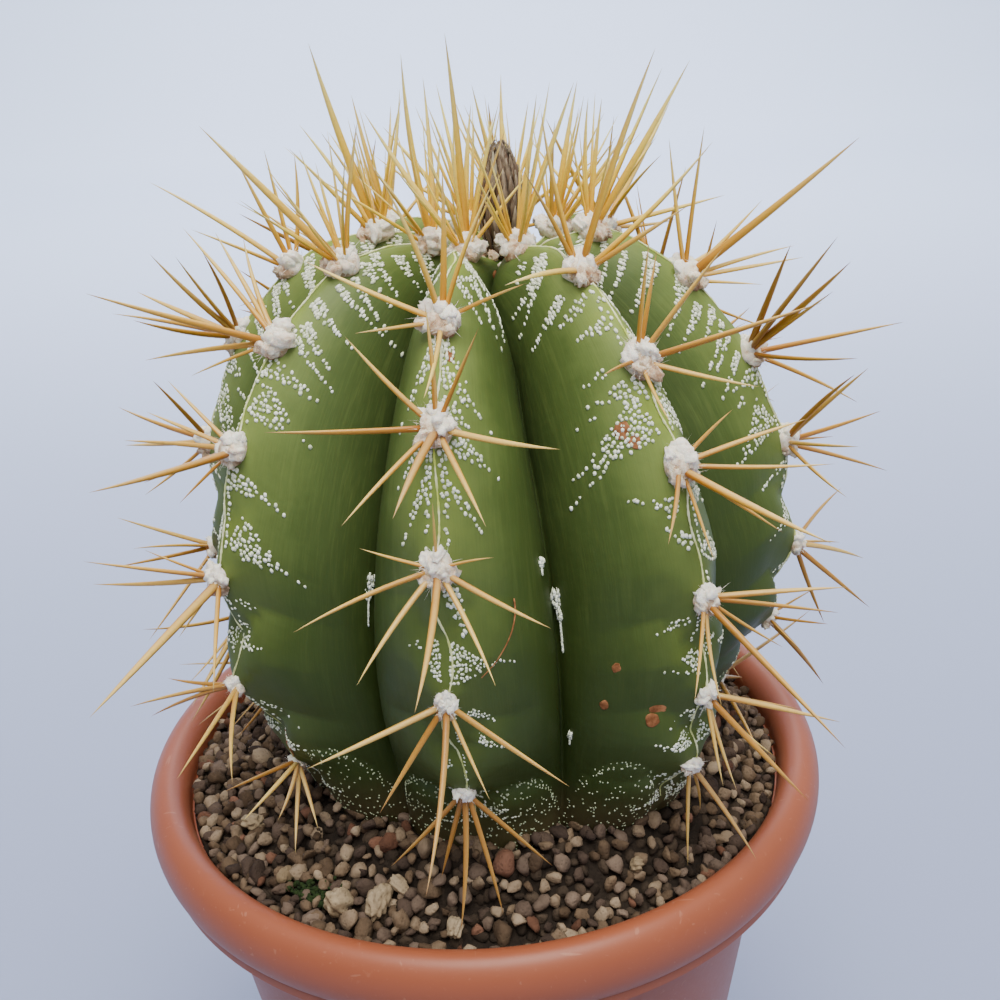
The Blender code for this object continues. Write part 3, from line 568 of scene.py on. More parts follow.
def clear_way(root, along, off, lift, length):
    """The spine's way, lifted or turned until it clears the ground and the flower. None where it can't."""
    aside = from_crown(root)
    while lift < MOST_LIFT:
        way = along * math.cos(math.radians(lift)) + off * math.sin(math.radians(lift))
        while any(in_flower(root + way * length * share) for share in SPINE_TESTS):
            way = (way + FLOWER_DODGE * aside).normalized()
        points = [root + way * length * share for share in SPINE_TESTS]
        if all(point.z > ground(point.x, point.y) for point in points):
            return way
        lift += LIFT_STEP
    return None


def seen_spines(rib, index):
    """The rows of an areole whose spines the photo shows one by one, or none."""
    rows = SPINES_BY_RIB.get(rib, ())
    return rows[index] if index < len(rows) else ()


def spine_plan(rib, index):
    """(clock angle, lift, length) of each spine of an areole, in degrees and mm."""
    if seen_spines(rib, index):
        return seen_spines(rib, index)
    arc = AREOLES[rib][index]
    draw = random.Random(rib * 100 + index)
    start = draw.uniform(-FIRST_SPINE_PLAY, FIRST_SPINE_PLAY)
    rule = next(rule for rule in SPINE_RULES if arc < rule[0])
    _, first, gap, play, count, lifts, lengths, clock, lift, middle_lengths = rule
    plan = []
    for step in range(count):
        turned = start + first + step * gap + (play and draw.uniform(-play, play))
        plan.append((turned, draw.uniform(*lifts), draw.uniform(*lengths)))
    return plan + [(start + clock, lift, draw.uniform(*middle_lengths))]


def extra_spines(rib, index):
    """Finer spines between the main ones, which the CAD model leaves out."""
    in_crown = AREOLES[rib][index] < CROWN_ARC
    if seen_spines(rib, index) and not in_crown:
        return []
    draw = random.Random(5000 + rib * 100 + index)
    count, lifts, lengths = CROWN_EXTRAS if in_crown else OTHER_EXTRAS
    return [(draw.uniform(-180, 180), draw.uniform(*lifts), draw.uniform(*lengths)) for _ in range(count)]


def in_cad_box(point):
    return all(low <= number <= high for low, number, high in zip(CAD_BOX[0], point, CAD_BOX[1]))


def spines():
    """(root, way, length, age, fineness) of every spine."""
    for rib in range(RIBS):
        for index, arc in enumerate(AREOLES[rib]):
            point, up, off, right = areole_frame(rib, arc)
            plan = [(row, 1) for row in spine_plan(rib, index)]
            plan += [(row, EXTRA_FINENESS) for row in extra_spines(rib, index)]
            for (clock, lift, length), fineness in plan:
                turned = math.radians(clock)
                along = up * math.cos(turned) + right * math.sin(turned)
                root = point + along * ROOT_RING * math.cos(math.radians(lift)) + off * ROOT_RISE_MM * MM
                way = clear_way(root, along, off, lift, length * MM)
                if way and (fineness == 1 or in_cad_box(root + way * length * MM)):
                    yield root, way, length * MM, arc / OLDEST_ARC, fineness


class Nodes:
    """Short names for the shader nodes of one material."""

    def __init__(self, name, roughness=0.5):
        self.material = bpy.data.materials.new(name)
        self.material.use_nodes = True
        self.tree = self.material.node_tree
        self.shader = self.tree.nodes["Principled BSDF"]
        self.shader.inputs["Roughness"].default_value = roughness

    def add(self, kind, **values):
        node = self.tree.nodes.new(kind)
        for name, value in values.items():
            setattr(node, name, value)
        return node

    def put(self, socket, value):
        """Links a socket's source, or sets its constant."""
        if isinstance(value, bpy.types.NodeSocket):
            self.tree.links.new(value, socket)
        else:
            socket.default_value = value

    def fill(self, node, **values):
        """Puts a value in each named input, and hands the node back."""
        for name, value in values.items():
            self.put(node.inputs[name.replace("_", " ")], value)
        return node

    def attribute(self, name):
        return self.add("ShaderNodeAttribute", attribute_name=name).outputs["Fac"]

    def place(self, scale=(1, 1, 1)):
        """Object coordinates, in metres times scale."""
        here = self.add("ShaderNodeTexCoord").outputs["Object"]
        return self.fill(self.add("ShaderNodeMapping"), Scale=scale, Vector=here).outputs["Vector"]

    def noise(self, vector, scale, detail=4, roughness=0.55):
        node = self.add("ShaderNodeTexNoise")
        return self.fill(node, Vector=vector, Scale=scale, Detail=detail, Roughness=roughness).outputs["Fac"]

    def cells(self, vector, scale):
        return self.fill(self.add("ShaderNodeTexVoronoi"), Vector=vector, Scale=scale).outputs["Distance"]

    def math(self, operation, first, second):
        node = self.add("ShaderNodeMath", operation=operation)
        self.put(node.inputs[0], first)
        self.put(node.inputs[1], second)
        return node.outputs["Value"]

    def plus(self, first, second):
        return self.math("ADD", first, second)

    def times(self, first, second):
        return self.math("MULTIPLY", first, second)

    def weighed(self, first, share, second, other_share):
        return self.plus(self.times(first, share), self.times(second, other_share))

    def vector(self, x, y=0.0):
        return self.fill(self.add("ShaderNodeCombineXYZ"), X=x, Y=y).outputs["Vector"]

    def span(self, value, low, high, to_low=0.0, to_high=1.0):
        node = self.fill(self.add("ShaderNodeMapRange"), Value=value, From_Min=low, From_Max=high)
        return self.fill(node, To_Min=to_low, To_Max=to_high).outputs["Result"]

    def ramp(self, factor, *stops):
        node = self.add("ShaderNodeValToRGB")
        self.put(node.inputs["Fac"], factor)
        ramp = node.color_ramp
        for number, (place, colour) in enumerate(stops):
            stop = ramp.elements[number] if number < 2 else ramp.elements.new(place)
            stop.position = place
            stop.color = (*colour, 1)
        return node.outputs["Color"]

    def mix(self, factor, first, second):
        node = self.add("ShaderNodeMix", data_type="RGBA")
        self.put(node.inputs["Factor"], factor)
        for socket, value in ((node.inputs[6], first), (node.inputs[7], second)):
            self.put(socket, value if isinstance(value, bpy.types.NodeSocket) else (*value, 1))
        return node.outputs[2]

    def tinted(self, colour, *tints):
        """Mixes in tints in turn: (value, where it starts, where it is full, its share there, tint)."""
        for value, start, full, share, tint in tints:
            colour = self.mix(self.span(value, start, full, 0, share), colour, tint)
        return colour

    def bump(self, height, distance, strength=1.0, normal=None):
        node = self.fill(self.add("ShaderNodeBump"), Strength=strength, Distance=distance, Height=height)
        if normal:
            self.put(node.inputs["Normal"], normal)
        return node.outputs["Normal"]

    def finish(self, colour, normal=None, specular=0.5, roughness=None, scatter=0.0, scatter_reach=1 * MM):
        self.put(self.shader.inputs["Base Color"], colour)
        if roughness is not None:
            self.put(self.shader.inputs["Roughness"], roughness)
        if normal is not None:
            self.put(self.shader.inputs["Normal"], normal)
        self.shader.inputs["Specular IOR Level"].default_value = specular
        self.shader.inputs["Subsurface Weight"].default_value = scatter
        self.shader.inputs["Subsurface Scale"].default_value = scatter_reach
        return self.material


def skin_material():
    """Olive green skin, faintly streaked, with painted shade in the grooves and down the lower stem, and
    yellow-green beside a crest that is partly its own colour and partly painted highlight.
    """
    n = Nodes("Cactus skin")
    crest, swell, arc, around = (n.attribute(name) for name in ("crest", "swell", "arc", "round"))
    streaks = n.noise(n.vector(n.times(around, 26), n.times(arc, 0.035)), 1.6, 5, 0.6)
    hairlines = n.noise(n.vector(n.times(around, 110), n.times(arc, 0.09)), 1.5, 4, 0.65)
    mottle = n.noise(n.place(), 55, 5, 0.6)
    # Painted shade: the ramp over crest darkens the green towards the grooves.
    colour = n.ramp(
        n.weighed(crest, 0.6, mottle, 0.4),
        (0.12, (0.03, 0.047, 0.013)), (0.5, (0.07, 0.106, 0.022)), (0.84, (0.215, 0.28, 0.068)),
    )
    colour = n.tinted(
        colour,
        (streaks, 0.52, 0.75, 0.2, (0.21, 0.26, 0.07)),
        (hairlines, 0.5, 0.72, 0.12, (0.22, 0.28, 0.06)),
        (hairlines, 0.46, 0.3, 0.12, (0.03, 0.05, 0.008)),
    )
    # Yellow-green on the swells beside a crest: partly the skin's own colour, partly painted highlight.
    yellow = n.times(n.span(crest, 0.72, 0.97), n.span(swell, 0.15, 0.9, 0.1, 1))
    yellow = n.times(yellow, n.span(mottle, 0.42, 0.62))
    colour = n.mix(n.times(yellow, 0.55), colour, (0.26, 0.34, 0.012))
    # Painted shade: the first two tints darken the lower stem; the last is the brown cork at the foot.
    colour = n.tinted(
        colour,
        (arc, 58, 96, 0.62, (0.026, 0.042, 0.004)),
        (arc, 95, 130, 0.35, (0.022, 0.034, 0.008)),
        (arc, 128, 140, 0.75, (0.07, 0.048, 0.022)),
    )
    relief = n.plus(n.noise(n.place(), 900, 3), n.times(hairlines, 0.9))
    rough = n.span(mottle, 0.3, 0.7, 0.46, 0.58)
    return n.finish(colour, n.bump(relief, 0.06 * MM, 0.45), 0.2, rough, scatter=0.05)


def fleck_material():
    """Pale felted flecks of the skin."""
    n = Nodes("Fleck felt", 0.95)
    colour = n.ramp(
        n.attribute("tone"), (0, (0.34, 0.4, 0.22)), (0.4, (0.72, 0.76, 0.54)), (1, (0.95, 0.96, 0.82))
    )
    return n.finish(colour, n.bump(n.noise(n.place(), 4000, 2), 0.05 * MM, 0.5), 0.15)


def crest_line_material():
    n = Nodes("Crest line", 0.7)
    patches = n.noise(n.place(), 300, 3)
    fresh = n.ramp(patches, (0.36, (0.5, 0.58, 0.1)), (0.6, (0.86, 0.86, 0.55)))
    old = n.ramp(patches, (0.36, (0.46, 0.5, 0.15)), (0.6, (0.78, 0.8, 0.44)))
    colour = n.mix(n.span(n.attribute("age"), 0.5, 0.72), fresh, old)
    return n.finish(colour, n.bump(n.noise(n.place(), 2500, 2), 0.05 * MM, 0.6), 0.25)


def wool_material():
    """White wool, brown where the clump noise dips, with painted shade from the tone that darkens each lump's
    lower side.
    """
    n = Nodes("Areole wool", 1.0)
    clumps = n.noise(n.place(), 620, 6, 0.65)
    colour = n.ramp(
        n.weighed(clumps, 0.95, n.attribute("tone"), 0.5),
        (0.44, (0.3, 0.16, 0.08)), (0.6, (0.6, 0.42, 0.26)), (0.73, (0.9, 0.76, 0.58)),
        (0.92, (1, 0.92, 0.78)),
    )
    fibres = n.noise(n.place((1, 1, 3)), 2400, 4, 0.7)
    normal = n.bump(fibres, 0.18 * MM, 0.7, n.bump(clumps, 0.7 * MM, 0.7))
    return n.finish(colour, normal, 0.1, scatter=0.12, scatter_reach=1.2 * MM)


def spine_material():
    """Brown-orange at the root, golden along the shaft, pale near the end and grey-brown at the point."""
    n = Nodes("Spine", 0.4)
    along, tone, age, turned = (n.attribute(name) for name in ("along", "tone", "age", "turned"))
    fresh = n.ramp(
        along,
        (0.0, (0.5, 0.2, 0.008)), (0.16, (0.78, 0.44, 0.015)), (0.5, (1, 0.72, 0.07)),
        (0.86, (1, 0.88, 0.28)), (1.0, (0.48, 0.4, 0.2)),
    )
    old = n.ramp(
        along,
        (0.0, (0.26, 0.08, 0.01)), (0.18, (0.45, 0.18, 0.012)), (0.55, (0.64, 0.34, 0.034)),
        (0.9, (0.72, 0.48, 0.12)), (1.0, (0.1, 0.07, 0.05)),
    )
    straw = n.ramp(
        along,
        (0.0, (0.3, 0.12, 0.02)), (0.2, (0.52, 0.28, 0.05)), (0.7, (0.6, 0.37, 0.08)),
        (1.0, (0.22, 0.14, 0.08)),
    )
    colour = n.mix(n.span(age, 0.14, 0.4), fresh, old)
    colour = n.tinted(colour, (age, 0.5, 0.72, 0.7, straw), (age, 0.84, 0.98, 0.5, (0.26, 0.17, 0.11)))
    dark_side = n.times(n.span(turned, 0.1, 0.8, 0, 0.6), n.span(age, 0.1, 0.4, 0.45, 1))
    colour = n.mix(dark_side, colour, (0.36, 0.14, 0.01))
    grain = n.noise(n.place(), 1500, 4, 0.6)
    colour = n.tinted(
        colour,
        (turned, -0.4, -0.95, 0.5, (0.88, 0.64, 0.2)),
        (tone, 0.8, 1, 0.5, (0.3, 0.12, 0.03)),
        (tone, 0.25, 0, 0.4, (0.86, 0.62, 0.15)),
        (grain, 0.5, 0.75, 0.25, (0.36, 0.13, 0.012)),
    )
    rings = n.noise(n.vector(n.times(along, 60)), 1, 2)
    normal = n.bump(n.plus(rings, grain), 0.04 * MM, 0.4)
    return n.finish(colour, normal, 0.4, scatter=0.08, scatter_reach=0.6 * MM)


def pot_material():
    """Satin terracotta-coloured plastic, with fine scratches and dust."""
    n = Nodes("Terracotta plastic")
    broad = n.noise(n.place(), 9, 4)
    fine = n.noise(n.place(), 900, 3, 0.6)
    colour = n.ramp(broad, (0.3, (0.27, 0.072, 0.03)), (0.7, (0.31, 0.088, 0.039)))
    level = n.noise(n.place((40, 900, 900)), 1, 2, 0.5)
    slanting = n.noise(n.place((900, 60, 700)), 1, 2, 0.5)
    scratches = n.math("MAXIMUM", n.span(level, 0.7, 0.74), n.span(slanting, 0.71, 0.75))
    colour = n.mix(n.times(scratches, 0.22), colour, (0.55, 0.27, 0.17))
    colour = n.tinted(colour, (fine, 0.62, 0.75, 0.2, (0.5, 0.2, 0.11)))
    rough = n.span(n.plus(broad, n.times(fine, 0.5)), 0.5, 1.1, 0.38, 0.52)
    normal = n.bump(n.plus(fine, n.times(scratches, -0.5)), 0.03 * MM, 0.35)
    return n.finish(colour, normal, 0.36, rough)


def grain_material(name, dark, middle, light):
    """Pumice: rough and pitted, each grain with a tone of its own."""
    n = Nodes(name, 0.92)
    patches = n.noise(n.place(), 420, 5, 0.65)
    tone = n.weighed(n.attribute("tone"), 0.62, patches, 0.5)
    colour = n.ramp(tone, (0.18, dark), (0.55, middle), (0.95, light))
    pits = n.cells(n.place(), 1500)
    # Painted shade: darker in the pits.
    colour = n.mix(n.span(pits, 0.0, 0.28, 0.45, 0), colour, tuple(0.35 * c for c in dark))
    normal = n.bump(n.span(pits, 0, 0.5), 0.18 * MM, 0.6, n.bump(patches, 0.35 * MM, 0.6))
    return n.finish(colour, normal, 0.2)


def flower_material():
    n = Nodes("Dried bract", 0.9)
    along, tone = n.attribute("along"), n.attribute("tone")
    colour = n.ramp(
        n.weighed(along, 0.6, tone, 0.4),
        (0.05, (0.12, 0.06, 0.03)), (0.4, (0.15, 0.1, 0.065)), (0.7, (0.27, 0.21, 0.145)),
        (1.0, (0.42, 0.36, 0.26)),
    )
    fibres = n.noise(n.place((1, 1, 0.12)), 1800, 4, 0.65)
    colour = n.tinted(
        colour, (fibres, 0.42, 0.62, 0.75, (0.05, 0.03, 0.02)), (tone, 0.8, 1, 0.6, (0.46, 0.42, 0.28))
    )
    return n.finish(colour, n.bump(fibres, 0.12 * MM, 0.8), 0.15)


def spot_material():
    n = Nodes("Cork spot", 0.85)
    patches = n.noise(n.place(), 900, 4)
    colour = n.ramp(patches, (0.35, (0.15, 0.052, 0.016)), (0.65, (0.36, 0.15, 0.06)))
    return n.finish(colour, n.bump(patches, 0.15 * MM, 0.6), 0.2)


def moss_material():
    n = Nodes("Moss", 0.95)
    colour = n.ramp(n.attribute("tone"), (0, (0.01, 0.02, 0.005)), (1, (0.022, 0.038, 0.009)))
    return n.finish(colour, n.bump(n.noise(n.place(), 3000, 3), 0.1 * MM, 0.7), 0.2)


def stage_material():
    """A plain pale floor, paler towards the back."""
    n = Nodes("Pale floor", 0.9)
    depth = n.fill(n.add("ShaderNodeSeparateXYZ"), Vector=n.place()).outputs["Y"]
    colour = n.ramp(n.span(depth, -0.3, 1.9), (0, (0.24, 0.275, 0.42)), (1, (0.7, 0.79, 1.0)))
    return n.finish(colour, specular=0.1)


def show(name, data):
    """An object of the scene that holds a mesh, light or camera."""
    obj = bpy.data.objects.new(name, data)
    bpy.context.scene.collection.objects.link(obj)
    return obj


def mesh_object(name, verts, faces, material, slot, **attributes):
    """A piece of the object that rides on it, with one number a point for each named attribute."""
    mesh = bpy.data.meshes.new(name)
    mesh.from_pydata(np.asarray(verts).tolist(), [], [list(face) for face in np.asarray(faces).tolist()])
    mesh.materials.append(material)
    for key, values in attributes.items():
        layer = mesh.attributes.new(key, "FLOAT", "POINT")
        layer.data.foreach_set("value", np.asarray(values, np.float32))
    mesh.shade_smooth()
    obj = show(name, mesh)
    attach(obj, "root")
    return obj


def ball(subdivisions):
    """(points, faces) of a unit ball of triangles."""
    bm = bmesh.new()
    bmesh.ops.create_icosphere(bm, subdivisions=subdivisions, radius=1)
    verts = np.array([vert.co for vert in bm.verts])
    faces = np.array([[vert.index for vert in face.verts] for face in bm.faces])
    bm.free()
    return verts, faces


def turned_at_random(rng, count):
    """Turns as matrices, evenly spread."""
    q = unit(rng.normal(size=(count, 4)))
    w, x, y, z = q.T
    return np.stack([
        np.stack([1 - 2 * (y * y + z * z), 2 * (x * y - z * w), 2 * (x * z + y * w)], -1),
        np.stack([2 * (x * y + z * w), 1 - 2 * (x * x + z * z), 2 * (y * z - x * w)], -1),
        np.stack([2 * (x * z - y * w), 2 * (y * z + x * w), 1 - 2 * (x * x + y * y)], -1),
    ], -2)


def many(template, places, turns, sizes, rng, dents=0.0, pitch=2.5, cuts=0):
    """Copies of a template, each sized, turned, dented and cut flat on a few sides in its own way."""
    verts, faces = template
    count = len(places)
    shapes = np.repeat(verts[None], count, axis=0)
    for _ in range(4):
        ways = rng.normal(size=(count, 3)) * pitch
        phases = rng.uniform(0, TURN, (count, 1))
        shapes = shapes * (1 + dents * np.sin(np.einsum("nvk,nk->nv", shapes, ways) + phases))[..., None]
    for _ in range(cuts):
        ways = unit(rng.normal(size=(count, 3)))
        reach = np.einsum("nvk,nk->nv", shapes, ways) - rng.uniform(0.55, 0.85, (count, 1))
        shapes = shapes - np.clip(reach, 0, None)[..., None] * ways[:, None, :]
    shapes = np.einsum("nij,nvj->nvi", turns, shapes * sizes[:, None, :]) + places[:, None, :]
    faces = faces[None] + (np.arange(count) * len(verts))[:, None, None]
    return shapes.reshape(-1, 3), faces.reshape(-1, faces.shape[-1])


def columns(rows):
    """A table's columns as arrays."""
    return [np.array(column) for column in zip(*rows)]


def strewn(name, slot, material, level, places, sizes, rng, tones, turns=None, brightness=1, **shape):
    """A piece of many dented balls, each with a tone of its own. Without turns they lie at random."""
    template = ball(level)
    if turns is None:
        turns = turned_at_random(rng, len(places))
    verts, faces = many(template, places, turns, sizes, rng, **shape)
    tone = np.repeat(rng.uniform(*tones, len(places)), len(template[0])) * brightness
    mesh_object(name, verts, faces, material, slot, tone=tone)


def joined(parts):
    """One (points, faces) from several."""
    verts, faces, start = [], [], 0
    for some_verts, some_faces in parts:
        verts.append(some_verts)
        faces.append(some_faces + start)
        start += len(some_verts)
    return np.concatenate(verts), np.concatenate(faces)


def grid_faces(rows, columns):
    """Triangles of a grid of points that is closed along its columns' direction."""
    i, j = np.meshgrid(np.arange(rows - 1), np.arange(columns), indexing="ij")
    k = (j + 1) % columns
    a, b, c, d = i * columns + j, i * columns + k, (i + 1) * columns + k, (i + 1) * columns + j
    return np.concatenate([np.stack([a, d, c], -1).reshape(-1, 3), np.stack([a, c, b], -1).reshape(-1, 3)])


def closed_faces(rows, columns):
    """The grid's triangles with a fan at either end. The two end points follow those of the grid."""
    around = np.arange(columns)
    after = (around + 1) % columns
    first, last = rows * columns, rows * columns + 1
    last_row = first - columns
    return np.concatenate([
        grid_faces(rows, columns),
        np.stack([np.full(columns, first), around, after], -1),
        np.stack([np.full(columns, last), last_row + after, last_row + around], -1),
    ])


def tube(path, radii, sides, flatness=1.0, spin=0.0):
    """Points and faces of a tube with a closed end along a path."""
    way = unit(np.gradient(path, axis=0))
    side = unit(np.cross(way, (0.31, 0.42, 0.85)))
    other = np.cross(way, side)
    angles = np.arange(sides) / sides * TURN
    ring = np.cos(angles)[None, :, None] * side[:, None] * flatness
    ring = ring + np.sin(angles)[None, :, None] * other[:, None]
    if spin:
        ring = ring * math.cos(spin) + np.cross(way[:, None], ring) * math.sin(spin)
    verts = (path[:, None] + ring * radii[:, None, None]).reshape(-1, 3)
    cap = np.array([[0, s, s + 1] for s in range(1, sides - 1)])
    return verts, np.concatenate([grid_faces(len(path), sides), cap])


def make_skin():
    """The ribbed stem."""
    spread = 1 - (1 - np.arange(1, HALF_COLUMNS + 1) / HALF_COLUMNS) ** COLUMN_SPREAD
    across = np.concatenate([-spread[-2::-1], [0], spread])
    root_arcs = np.linspace(ROOT_ARC, FINE_ARCS[-1] - ROOT_END_MM, ROOT_ROWS)
    arcs = np.concatenate([np.arange(*SKIN_ARCS), root_arcs])[:, None]
    rib, across = np.repeat(np.arange(RIBS), len(across)), np.tile(across, RIBS)
    rib, across, arc = np.broadcast_arrays(rib, across, arcs)
    points = stem_point(rib, across, place_at(arc))
    points = points + np.random.default_rng(3).normal(0, SKIN_ROUGHNESS, points.shape)
    poles = np.array([stem_point(0, 0, 0.0), stem_point(0, 0, float(LAST))])
    verts = np.concatenate([points.reshape(-1, 3), poles])
    _, swell = scallops(rib, arc)
    values = {"crest": 1 - np.abs(across), "arc": arc, "round": rib + across / 2, "swell": swell}
    values = {key: np.append(value.reshape(-1), [0, 0]) for key, value in values.items()}
    values["arc"][-1] = BOTTOM_ARC
    skin = mesh_object("cactus_skin", verts, closed_faces(*arc.shape), skin_material(), "cactus", **values)
    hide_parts("cactus")


def flank_width(arc):
    """mm over the skin from a crest to a groove."""
    return max(NARROWEST_FLANK, FLANK_SHARE * float(on_curve(CREST, place_at(arc))[0]) / MM)


def fleck_band(draw, rib, start, end, width, pitch):
    """(rib, across, arc) of a band of flecks between two places, (across, arc), thinning out to single dots.

    width is in dots and pitch in mm.
    """
    flank = flank_width(start[1])
    side = 1 if start[0] > 0 else -1
    way = np.array([(end[0] - start[0]) * flank, end[1] - start[1]])
    length = float(np.hypot(*way))
    way = way / length
    aside = np.array([-way[1], way[0]])
    found, gone = [], 0
    while gone < BAND_TRAIL * length:
        share = gone / length
        dots = max(1, round(width * (1 - min(1, share) ** 2) + draw.uniform(-0.4, 0.4)))
        for dot in range(dots):
            if draw.random() < (0.96 - 0.25 * share if share < 1 else 0.5):
                shift = (dot - (dots - 1) / 2 + draw.uniform(-0.3, 0.3)) * pitch
                spot = way * (gone + draw.uniform(-0.35, 0.35) * pitch) + aside * shift
                across = start[0] + spot[0] / flank
                if side * across > LEAST_ACROSS:
                    found.append((rib, across, start[1] + spot[1]))
        gone += pitch * draw.uniform(0.85, 1.1)
    return found


def bands(draw, above, span):
    """The bands of one side of a rib in the span below an areole, by the rule for its arc."""
    rule = crown_bands if above < CROWN_BANDS_END else flank_bands if above < FLANK_BANDS_END else foot_bands
    return rule(draw, above, span)


def fleck_places():
    """The flecks that lead off the crests, from slanting streaks at the crown to level bands at the foot."""
    found = []
    for (rib, side), rows in BANDS_BY_PLACE.items():
        draw = random.Random(900 + rib * 10 + side)
        for across, arc, end_across, end_arc, width, pitch in rows:
            found += fleck_band(draw, rib, (side * across, arc), (side * end_across, end_arc), width, pitch)
    for rib in range(RIBS):
        for above, below in spans(rib, FIRST_BAND_ARC):
            for side in (-1, 1):
                if above < BANDS_END.get((rib, side), 0):
                    continue
                draw = random.Random(round(rib * 1000 + above * 10 + side))
                for off, arc, length, slope, width, pitch in bands(draw, above, below - above):
                    flank, slope = flank_width(arc), math.radians(slope)
                    start = side * off / flank, arc
                    end = start[0] + side * length * math.cos(slope) / flank, arc + length * math.sin(slope)
                    found += fleck_band(draw, rib, start, end, width, pitch)
    return found


def crown_bands(draw, above, span):
    """(mm off the crest, arc, length, slope, width, pitch) of the dense slanting streaks round the crown."""
    count = max(2, round(span / 3.2))
    for step in range(count):
        arc = above + span * (step + draw.uniform(0.1, 0.7)) / count
        off, length, slope = draw.uniform(0.8, 4.5), draw.uniform(6, 11), draw.uniform(16, 42)
        yield off, arc, length, slope, draw.choice((2, 3, 3.8)), 0.56


def flank_bands(draw, above, span):
    """The same for the middle of a rib: a level band under the areole and a broad patch further down."""
    off, length, slope = draw.uniform(1, 2), draw.uniform(6, 8), draw.uniform(-8, 8)
    yield off, above + 0.22 * span, length, slope, draw.uniform(4, 5.6), 0.86
    yield draw.uniform(8, 10), above + 0.3 * span, 3, 8, 1.4, 1
    off, arc = draw.uniform(1.5, 4), above + draw.uniform(0.45, 0.6) * span
    yield off, arc, draw.uniform(9, 13), draw.uniform(18, 32), draw.uniform(6, 8.4), 0.86
    yield 0.7, above + 3, 0.6 * span, 86, 1.6, 0.9


def foot_bands(draw, above, span):
    """The same for the foot of a rib: dots down the crest, and a fine patch at the notch that trails away."""
    notch = above + draw.uniform(0.5, 0.68) * span
    yield 0.8, above + 2.5, 0.4 * span, draw.uniform(70, 86), 2, 0.8
    yield draw.uniform(0.8, 2), notch, draw.uniform(3, 8), draw.uniform(-20, 24), draw.uniform(5, 8), 0.66
    yield draw.uniform(4, 8), notch + 1, draw.uniform(3, 6), draw.uniform(-14, 14), 1.5, 0.9
    yield draw.uniform(2, 4), above + 3.5, draw.uniform(4, 8), draw.uniform(8, 30), 2.2, 0.84


def lobe_fleck_places():
    """(rib, across, arc) along the outlines of the pillows at the foot, and inside them."""
    found = []
    for rib in range(RIBS):
        for side in (-1, 1):
            draw = random.Random(rib * 77 + side)
            tall = LOBE_TOPS[rib] - LOBE_FOOT
            for step in range(OUTLINE_STEPS):
                angle = math.radians(4 + step * 2.26 + draw.uniform(-1, 1))
                for _ in range(draw.choice((0, 1, 2, 2))):
                    across = LOBE_MIDDLE + (LOBE_OUTLINE + draw.uniform(-0.03, 0.04)) * math.cos(angle)
                    height = LOBE_FOOT + (tall + draw.uniform(-1, 1)) * math.sin(angle)
                    found.append((rib, side * across, height))
            for _ in range(LOBE_DOTS):
                reach, angle = draw.uniform(0, 0.85) ** 0.6, draw.uniform(0, math.pi)
                across = LOBE_MIDDLE + LOBE_OUTLINE * reach * math.cos(angle)
                height = LOBE_FOOT + tall * reach * math.sin(angle)
                if draw.random() < 0.85 - 0.02 * height:
                    found.append((rib, side * across, height))
    low = FINE_ARCS > 60
    heights, arcs = FINE_HEIGHTS[low] / MM, FINE_ARCS[low]
    order = np.argsort(heights)
    heights, arcs = heights[order], arcs[order]
    return [(rib, across, float(np.interp(height, heights, arcs))) for rib, across, height in found]


def make_flecks():
    """Flat felted dots, in a piece for each height, and one for those on the pillows at the foot."""
    material = fleck_material()
    places = [row for row in fleck_places() if abs(row[1]) < FLECKS_ACROSS]
    for name, (top, bottom, radius, seed, brightness) in FLECK_PIECES.items():
        on_lobes = name == "lobe_flecks"
        rows = lobe_fleck_places() if on_lobes else [row for row in places if top <= row[2] < bottom]
        rib, across, arc = columns(rows)
        rng = np.random.default_rng(seed)
        point, down, side, out = skin_frame(rib, across, arc)
        size = rng.uniform(*FLECK_SIZES, len(rows)) * radius * MM
        in_crown = 1 + CROWN_STRETCH - CROWN_STRETCH * eased(*CROWN_STRETCH_ENDS, arc)
        stretch = rng.uniform(*FLECK_STRETCH, len(rows)) * in_crown
        sizes = np.stack([size, size * stretch, size * 0.5], -1)
        strewn(
            name, "cactus", material, 1, point + out * (size * 0.1)[:, None], sizes, rng, (0.2, 1),
            np.stack([side, down, out], -1), brightness, dents=0.1,
        )


def make_crest_lines():
    """A thin pale line that wanders down each crest, and swings wider towards the foot."""
    arcs = np.arange(*LINE_ARCS)
    parts = []
    for rib in range(RIBS):
        draw = random.Random(rib)
        wander = sum(
            LINE_WANDER * np.sin(arcs / draw.uniform(1.8, 6) + draw.uniform(0, TURN)) for _ in range(4)
        )
        between = np.interp(arcs, AREOLES[rib], np.arange(len(AREOLES[rib])))
        wander = wander - LINE_SWING * eased(60, 84, arcs) * np.sin(TURN * between)
        point, _, _, out = skin_frame(np.full(len(arcs), rib), wander, arcs)
        radii = 0.17 + 0.04 * np.sin(arcs * 1.7 + rib) + 0.03 * np.sin(arcs * 5.1)
        parts.append(tube(point + out * 0.02 * MM, radii * MM, LINE_SIDES))
    age = np.tile(np.repeat(arcs / OLDEST_ARC, LINE_SIDES), RIBS)
    mesh_object("crest_lines", *joined(parts), crest_line_material(), "cactus", age=age)


def cushion_size(arc):
    """Wool is thickest round the crown and thin on the oldest areoles."""
    return YOUNG_CUSHION + (OLD_CUSHION - YOUNG_CUSHION) * float(eased(*CUSHION_SHRINKS, arc))


def dome_way(angle, lift):
    """The way (right, up, off the skin) at an angle round a cushion, lifted off the skin."""
    return np.array([math.cos(angle) * math.cos(lift), math.sin(angle) * math.cos(lift), math.sin(lift)])


